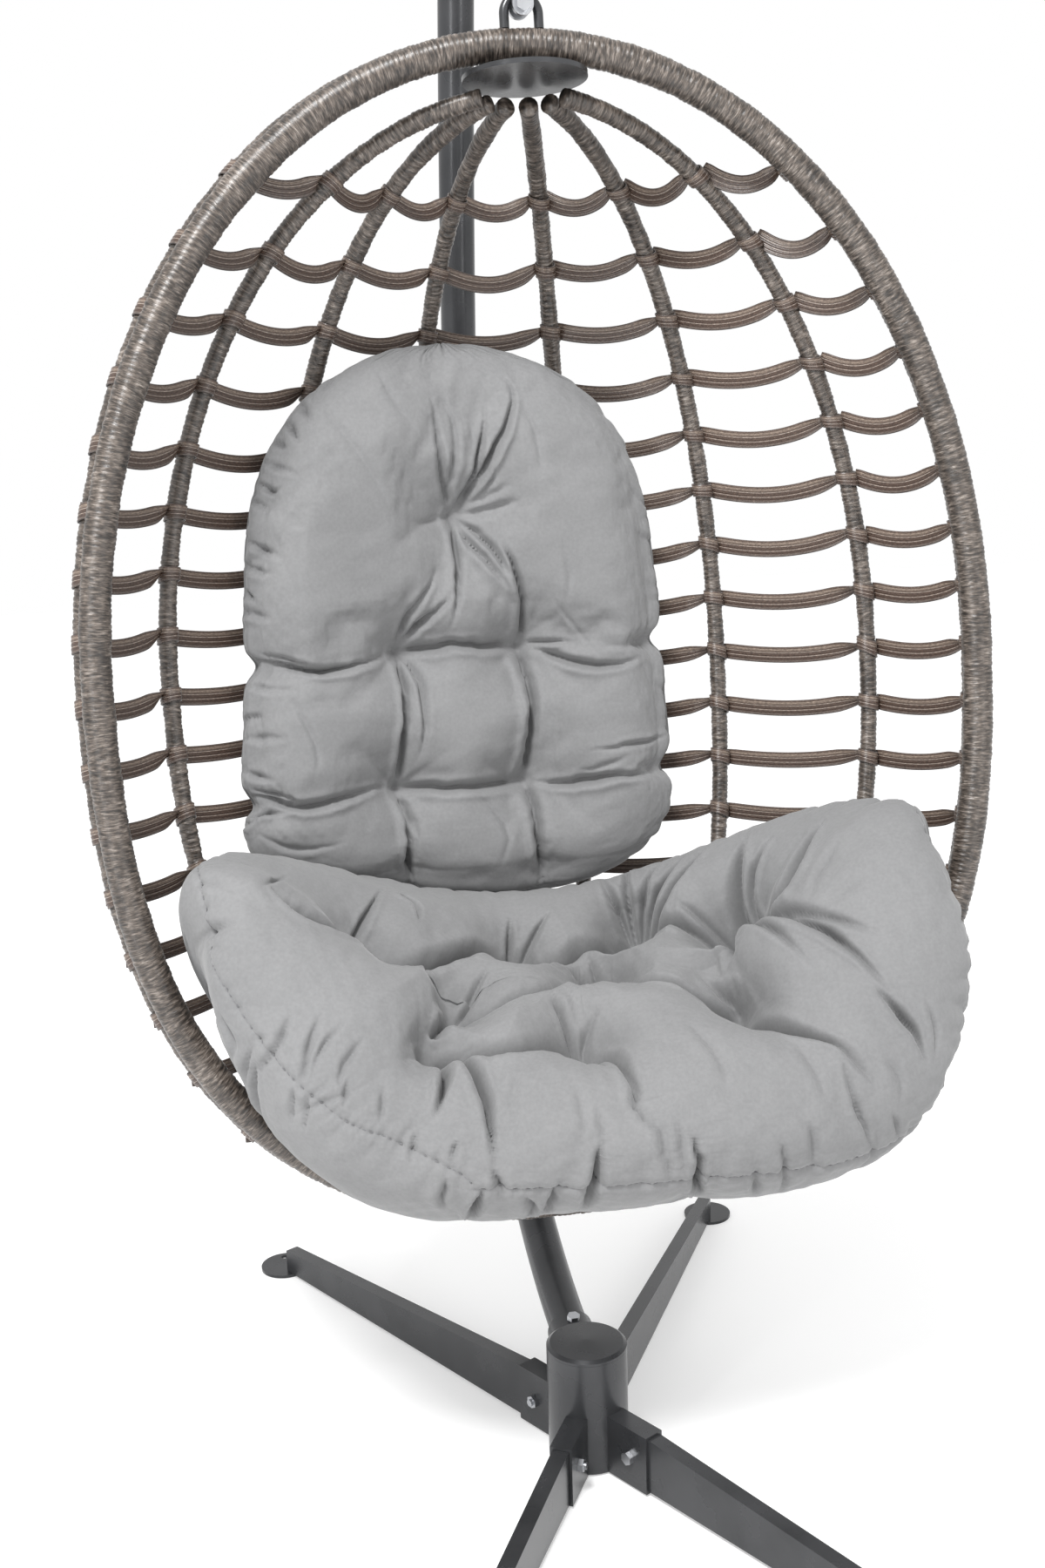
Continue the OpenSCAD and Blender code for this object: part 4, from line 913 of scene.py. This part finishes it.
def moved(grid, start, move, cap):
    """The sim's moves carried over to a finer grid, no point further than the cap."""
    far = np.linalg.norm(move, axis=1, keepdims=True)
    move = move * np.minimum(1, cap / np.maximum(far, 1e-9))
    tree = point_tree(start)
    coarse = grid[::COARSE, ::COARSE]
    shift = np.array([move[[i for _, i, _ in tree.find_n(p, 7)]].mean(0) for p in coarse.reshape(-1, 3)])
    shift = shift.reshape(coarse.shape)
    high = grid.shape[0]
    rows = np.interp(np.arange(high), np.arange(0, high, COARSE), np.arange(coarse.shape[0]))
    cols = np.arange(grid.shape[1]) / float(COARSE)
    r0 = np.minimum(rows.astype(int), coarse.shape[0] - 2)
    c0 = cols.astype(int) % coarse.shape[1]
    c1 = (c0 + 1) % coarse.shape[1]
    fr, fc = (rows - r0)[:, None, None], (cols - cols.astype(int))[None, :, None]
    a, b = shift[r0], shift[r0 + 1]
    return (a[:, c0] * (1 - fr) + b[:, c0] * fr) * (1 - fc) + (a[:, c1] * (1 - fr) + b[:, c1] * fr) * fc


# ---------------------------------------------------------------- seat cushion
SEAT_HALF, SEAT_RX, SEAT_BACK, SEAT_FRONT, SEAT_RISE = 100.0, 398.0, 246.0, 190.0, 250.0
SEAT_LEVEL, SEAT_DROOP = -489.5, 62.0
SEAT_DIP, SEAT_SWELL = 105.0, 100.0
FLARE_LEFT, FLARE_RIGHT, SEAT_SKEW = 0.03, 0.13, 22.0
SEAT_TUFTS = np.array(((-266, 24), (-56, 134), (110, 152), (226, 62), (-160, -18), (42, 52), (175, -32),
                       (-196, -72), (-18, -79)), float)
SEAT_PITS = (60, 60, 96, 104, 54, 66, 76, 52, 62)
SEAT_GRID = ((780, 216, 84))    # points round it, rings above and below
SEAT_VOXEL, SEAT_CAP, PIT_RADIUS, SEAT_GATHERS = 0.0062, 20.0, 43.0, 70
STITCH_PUCKER = 12.5           # length of the small waves that the stitching draws


def power(v, e):
    return np.sign(v) * np.abs(v) ** e


def seat_mid(s, f):
    c, n = np.cos(f), np.sin(f)
    rear = n >= 0
    flare = 1 + np.where(c < 0, FLARE_LEFT, FLARE_RIGHT) * smooth_step((-n - 0.05) / 0.45)
    lift = np.where(rear, SEAT_RISE - (SEAT_DIP + SEAT_SWELL * c * c) * np.abs(n) ** 4,
                    (SEAT_RISE + SEAT_DROOP) * np.abs(c) ** 6 - SEAT_DROOP)
    x = SEAT_RX * flare * s * np.where(rear, power(c, 1.1), power(c, 0.85))
    y = s * np.where(rear, SEAT_BACK * power(n, 1.15), SEAT_FRONT * power(n, 0.95))
    z = SEAT_LEVEL + lift * s ** np.where(rear, 2.6, 2.6 - 1.2 * n * n)
    z = z + 2 * SEAT_SKEW * c * np.minimum(0, n) * s * s
    return np.stack([x, y, z], axis=-1)


def seat_normal(s, f):
    d = math.radians(2)
    around = seat_mid(s, f + d) - seat_mid(s, f - d)
    inward = seat_mid(s + 0.01, f) - seat_mid(np.maximum(s - 0.01, 0.0001), f)
    return unit(-np.cross(around, inward))


def seat_cushion():
    rng = np.random.default_rng(7)
    sides, top_n, low_n = SEAT_GRID
    f = np.linspace(0, 2 * math.pi, sides, endpoint=False)
    s_top = np.sin(np.linspace(0.03, 1, top_n) * math.pi / 2) ** 0.9
    s_low = np.sin(np.linspace(1, 0.03, low_n) * math.pi / 2)[1:] ** 0.9
    s = np.concatenate([s_top, s_low])[:, None]
    upper = (np.arange(len(s)) < top_n)[:, None]
    ss, ff = s + 0 * f[None], f[None] + 0 * s
    mid, normal = seat_mid(ss, ff), seat_normal(ss, ff)
    thick = SEAT_HALF * np.sqrt(np.clip(1 - ss ** 5, 0, 1))
    puff = 7 * bell((ss - 0.72) / 0.2)
    pits, pleats = pit_relief(mid[..., 0], mid[..., 1], SEAT_TUFTS, SEAT_PITS, np.random.default_rng(11),
                              PIT_RADIUS)
    fade = np.clip((1 - ss) / 0.14, 0, 1) * upper
    smooth = mid + normal * np.where(upper, thick + puff, -thick)[..., None]
    out_of_mid = np.where(upper[..., None], normal, -normal)
    around = grid_normals(smooth)
    inside = smooth_step((1 - ss) / 0.16)[..., None]
    facing = (around * out_of_mid).sum(-1, keepdims=True) > -0.2
    away = unit(out_of_mid * inside + np.where(facing, around, out_of_mid) * (1 - inside))
    valley, sharp = fold_relief(smooth, away, SEAT_FOLDS)
    sharp = sharp * np.where(upper, still_near(mid[..., 0], mid[..., 1], SEAT_TUFTS), 1)
    base = smooth - away * (pits * fade + valley)[..., None]
    first, last = base[0].mean(0), base[-1].mean(0)

    pins = [base.reshape(-1, 3)[((mid[:top_n, :, :2] - t) ** 2).sum(-1).argmin()] for t in SEAT_TUFTS]
    start, move = inflated("seat_sim", base[::2, ::2], first, last, place(pins), SEAT_VOXEL)
    shift = moved(base, start, move, SEAT_CAP)
    ahead = smooth_step((-base[..., 1] - 34) / 60)
    rear = smooth_step((base[..., 1] - 90) / 60) * smooth_step((ss - 0.7) / 0.2)
    inner = np.maximum(1 - smooth_step((ss - 0.82) / 0.16), ahead)
    free = np.where(upper, inner * (1 - 0.75 * rear), ahead)
    free = free * (1 - 0.85 * np.clip(pits / 40, 0, 1) * upper)
    base = base + shift * free[..., None]
    first, last = base[0].mean(0), base[-1].mean(0)

    edge = base[top_n - 1]
    along = np.concatenate([[0], np.cumsum(np.linalg.norm(np.diff(edge, axis=0), axis=1))])
    total = along[-1] + np.linalg.norm(edge[0] - edge[-1])
    up = np.interp(np.degrees(f), (200, 222, 236, 252), (0, 0.05, 0.045, 0), left=0, right=0)
    row = np.interp(1 - up, s_top, np.arange(top_n))
    r0, part = np.minimum(row.astype(int), top_n - 2), (row % 1)[:, None]
    column = np.arange(sides)
    seam = base[r0, column] * (1 - part) + base[r0 + 1, column] * part
    off = np.linalg.norm(base - seam[None], axis=-1)
    signed = np.where(np.arange(len(s))[:, None] <= row[None], off, -off)
    al = along[None] + 0 * ss
    folds = gathers(SEAT_GATHERS, total, rng, (22, 60), (1.0, 4.5))
    relief = sharp + pleats * fade + gather_relief(al, signed, total, folds)
    relief += 1.8 * np.exp(-off / 2.4) - 1.0 * bell((off - 8) / 6)
    ripple = np.sin(al * 2 * math.pi / STITCH_PUCKER + 2.2 * np.sin(al / 31.0))
    relief += (0.7 + 0.7 * ripple) * np.exp(-off / 10)
    relief += 1.6 * waves(base, np.random.default_rng(3), (50, 120))
    relief += 0.55 * waves(base, np.random.default_rng(4), (14, 32), 16)
    contact = np.where(upper, 0.0, 1 - smooth_step((-base[..., 1] - 20) / 50))
    relief = np.where(contact > 0.01, np.maximum(relief * (1 - 0.6 * contact), 0.0), relief)
    rings = base - away * relief[..., None]
    piece = add_mesh("seat_cushion_padded", *closed_form(rings, first, last), CLOTH)
    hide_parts("seat_cushion")
    line = rings[r0, column] * (1 - part) + rings[r0 + 1, column] * part
    return line, grid_normals(base)[r0, column]


# ---------------------------------------------------------------- back cushion
BACK_HALF, BACK_RX, BACK_TOP, BACK_BOTTOM, BACK_SHIFT, BACK_PLAY = 58.0, 252.0, 305.0, -320.0, 68.0, 6.6
BACK_MID, BACK_SPAN = (BACK_TOP + BACK_BOTTOM) / 2, (BACK_TOP - BACK_BOTTOM) / 2
BACK_BELLY, BACK_SPREAD = 26.0, 32.0
BACK_CREASES = (-44.0, -200.0)
BACK_TUFTS = np.array(((2, 112), (-68, -39), (74, -42), (-80, -198), (71, -204), (-80, -326), (88, -338)),
                      float)
BACK_PITS = (30, 34, 36, 32, 34, 26, 28)
BACK_GRID = ((290, 350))           # points across its front and down it
BACK_VOXEL, BACK_CAP, BACK_PIT_RADIUS, BACK_GATHERS = 0.0056, 15.0, 34.0, 150
BACK_FOLDS_DEEPER = 1.35
SIDE_APART = 2000.0            # keeps the gathers of the two side edges apart
RIB_CLEAR, BOWL_SHARE, BACK_BEND = 1.8, 0.93, 0.00096     # where the pad's middle surface lies


def back_width(v):
    up = np.clip(1 - np.abs(v) ** 2.9, 0, 1) ** (1 / 2.3)
    low = np.clip(1 - np.abs(v) ** 9, 0, 1) ** (1 / 3)
    return BACK_RX * (1 - 0.035 * v) * np.where(v > 0, up, low)


def back_mid_y(x, level):
    bowl = BOWL * oval(level, RIM_W, RIB_UP, RIB_LOW) * BOWL_SHARE
    return bowl - BACK_HALF - RIB_R - RIB_CLEAR - BACK_PLAY - BACK_BEND * x * x


def back_cushion():
    wide, high = BACK_GRID
    rear_n = wide // 2
    u = np.concatenate([np.sin(np.linspace(-1, 1, wide) * math.pi / 2),
                        np.sin(np.linspace(1, -1, rear_n + 2)[1:-1] * math.pi / 2)])
    v = np.sin(np.linspace(0.985, -0.985, high) * math.pi / 2)
    front = (np.arange(len(u)) < wide)[None]
    vv, uu = np.meshgrid(v, u, indexing="ij")
    below = np.clip(-vv, 0, 1)
    width = back_width(vv)
    x = width * uu - BACK_SPREAD * below ** 1.5 * (1 - below ** 4) * np.clip(-uu, 0, 1) ** 2
    hang = BACK_BELLY * below ** 3 * np.clip(1 - ((x - 78) / 185) ** 2, 0, 1)
    z = BACK_MID + BACK_SPAN * vv - hang
    for level in BACK_CREASES:
        x -= np.sign(uu) * np.abs(uu) ** 5 * (11 * bell((z - level) / 13)
                                              - 3 * bell((np.abs(z - level) - 45) / 30))
    thick = BACK_HALF * np.sqrt(np.clip(1 - np.abs(uu) ** 4, 0, 1))
    thick = thick * np.sqrt(np.clip(1 - np.abs(vv) ** 7, 0, 1))
    edge_gap = np.minimum((1 - np.abs(uu)) * np.maximum(width, 1), (1 - np.abs(vv)) * BACK_SPAN)
    pits, pleats = pit_relief(x, z, BACK_TUFTS, BACK_PITS, np.random.default_rng(35), BACK_PIT_RADIUS)
    fade = np.clip(edge_gap / 30, 0, 1) * front
    mid_y = back_mid_y(x - BACK_SHIFT, z)
    puff = 6 * np.clip(1 - np.abs(uu) ** 3, 0, 1) * np.clip(1 - np.abs(vv) ** 4, 0, 1)
    y = np.where(front, mid_y - thick - puff, mid_y + thick * 0.8)
    smooth = np.stack([x - BACK_SHIFT, y, z], axis=-1)
    away = grid_normals(smooth)
    valley, sharp = fold_relief(smooth, away, BACK_FOLDS)
    sharp = BACK_FOLDS_DEEPER * sharp * np.where(front, still_near(x, z, BACK_TUFTS), 1)
    base = smooth - away * (np.minimum(pits * fade + valley, thick * 0.9) * front)[..., None]
    first = np.array((-BACK_SHIFT, base[0, :, 1].mean(), BACK_TOP))
    last = np.array((-BACK_SHIFT, base[-1, :, 1].mean(), BACK_BOTTOM - BACK_BELLY))

    from_tuft = [((np.stack([x, z], -1) - t) ** 2).sum(-1)[:, :wide] for t in BACK_TUFTS]
    pins = [base[divmod(gap.argmin(), wide)] for gap in from_tuft]
    start, move = inflated("back_sim", base[::2, ::2], first, last, place(pins), BACK_VOXEL)
    shift = moved(base, start, move, BACK_CAP)
    free = np.where(front, 1.0, 0.0) * np.clip((1 - np.abs(uu)) / 0.06, 0.25, 1)
    free = free * (1 - smooth_step((-vv - 0.86) / 0.1)) * (1 - 0.8 * np.clip(pits / 24, 0, 1))
    base = base + shift * free[..., None]
    off = edge_gap + thick * 0.5
    along = z + np.where(uu >= 0, SIDE_APART, -SIDE_APART) + np.where(vv > 0.4, uu * 260, 0)
    folds = gathers(BACK_GATHERS, 2 * SIDE_APART, np.random.default_rng(33), (16, 42), (0.8, 4.0))
    relief = sharp + pleats * fade + gather_relief(along, off, 2 * SIDE_APART, folds)
    relief += 1.1 * waves(base, np.random.default_rng(5), (60, 130))
    relief += 0.4 * waves(base, np.random.default_rng(6), (16, 34), 16)
    relief = np.minimum(relief, np.maximum(thick * 0.85, 1.5))
    relief = np.where(front, relief, np.clip(relief * 0.6, 0, None))
    low = smooth_step((-vv - 0.9) / 0.06)
    relief = relief * (1 - low) + np.maximum(relief, 0) * low
    rings = base - away * relief[..., None]
    piece = add_mesh("back_cushion_padded", *closed_form(rings, first, last), CLOTH)
    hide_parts("back_cushion")


seam_line, seam_up = seat_cushion()
back_cushion()


# ---------------------------------------------------------------- stitching
STITCH, STITCH_GAP, THREAD_R = 4.2, 2.6, 0.55
BEAD = ((-0.5, 0.25), (-0.3, 1.0), (0.0, 1.15), (0.3, 1.0), (0.5, 0.25))   # place along it, thickness


def stitches(name, line, outward):
    """Short threads along a closed line."""
    pts = resample(line, STITCH + STITCH_GAP, True)[0]
    tree = point_tree(line)
    verts, faces = [], []
    for a, b in zip(pts, np.roll(pts, -1, axis=0)):
        d = unit(b - a)
        mid = (a + b) / 2
        w = outward[tree.find(mid)[1]]
        w = unit(w - d * w.dot(d))
        e = np.cross(d, w)
        base = len(verts)
        for t, r in BEAD:
            for k in range(6):
                q = k * math.pi / 3
                across = (w * math.cos(q) + e * math.sin(q)) * THREAD_R * r
                verts.append(mid + w * 0.35 + d * t * STITCH + across)
        faces += [tuple(base + j for j in face) for face in tube_faces(len(BEAD), 6, False)]
    piece = add_mesh(name, place(np.array(verts)), faces, THREAD)


stitches("seat_seam_stitching", seam_line, seam_up)

# ---------------------------------------------------------------- floor, light and camera
FLOOR_GREY, FLOOR_GLOW = 0.68, 0.36        # the faint glow keeps the floor as white as the background
FLOOR_M = 9                    # half of the floor's side
floor_mesh = bpy.data.meshes.new("floor")
floor_mesh.from_pydata([(x * FLOOR_M, y * FLOOR_M, 0) for x, y in ((-1, -1), (1, -1), (1, 1), (-1, 1))],
                       [], [(0, 1, 2, 3)])
floor = linked("floor", floor_mesh)
floor_material, tree, shader = node_tree("pale_floor")
shader.inputs["Base Color"].default_value = (FLOOR_GREY, FLOOR_GREY, FLOOR_GREY, 1)
shader.inputs["Emission Color"].default_value = (1, 1, 1, 1)
shader.inputs["Emission Strength"].default_value = FLOOR_GLOW
shader.inputs["Roughness"].default_value = 0.9
floor_mesh.materials.append(floor_material)

world = bpy.data.worlds.new("studio")
bpy.context.scene.world = world
world.use_nodes = True
world.node_tree.nodes["Background"].inputs[0].default_value = (1, 1, 1, 1)
world.node_tree.nodes["Background"].inputs[1].default_value = 1.0
# with this transform the plain white background of the photo is white in the picture too
bpy.context.scene.view_settings.view_transform = "Standard"


def area_light(name, at, aim, size, power_w):
    data = bpy.data.lights.new(name, "AREA")
    data.shape = "RECTANGLE"
    data.size, data.size_y = size
    data.energy = power_w
    z = unit(np.array(at, float) - np.array(aim, float))
    x = unit(np.cross((0, 0, 1.0), z))
    linked(name, data).matrix_world = axes_matrix(x, np.cross(z, x), z, at)


area_light("key", (-1.1, -1.75, 3.7), (0, -0.1, 0.7), (0.9, 0.7), 165)
area_light("strip_left", (-2.2, -2.0, 1.2), (0, 0, 1.0), (0.12, 2.4), 26)
area_light("strip_right", (1.5, -2.8, 1.2), (0, 0, 1.0), (0.12, 2.4), 20)

F_PX, PICTURE_H, SENSOR_H = 2000.0, 1800.0, 36.0   # focal length and picture height in px, sensor in mm
PITCH, AZ, ROLL = math.radians(12.44), math.radians(11.15), math.radians(-1.79)
EYE = (ORIGIN + np.array((-397.3, -1805.1, 223.1))) / 1000.0
camera_data = bpy.data.cameras.new("camera")
camera_data.sensor_fit = "VERTICAL"
camera_data.sensor_height = SENSOR_H
camera_data.lens = F_PX * SENSOR_H / PICTURE_H
camera_data.clip_start = 0.05
camera_data.clip_end = 50
camera = linked("camera", camera_data)
look = np.array((math.sin(AZ) * math.cos(PITCH), math.cos(AZ) * math.cos(PITCH), -math.sin(PITCH)))
level_right = np.array((math.cos(AZ), -math.sin(AZ), 0.0))
level_up = np.cross(level_right, look)
right = math.cos(ROLL) * level_right + math.sin(ROLL) * level_up
upward = -math.sin(ROLL) * level_right + math.cos(ROLL) * level_up
camera.matrix_world = axes_matrix(right, upward, -look, EYE)
bpy.context.scene.camera = camera
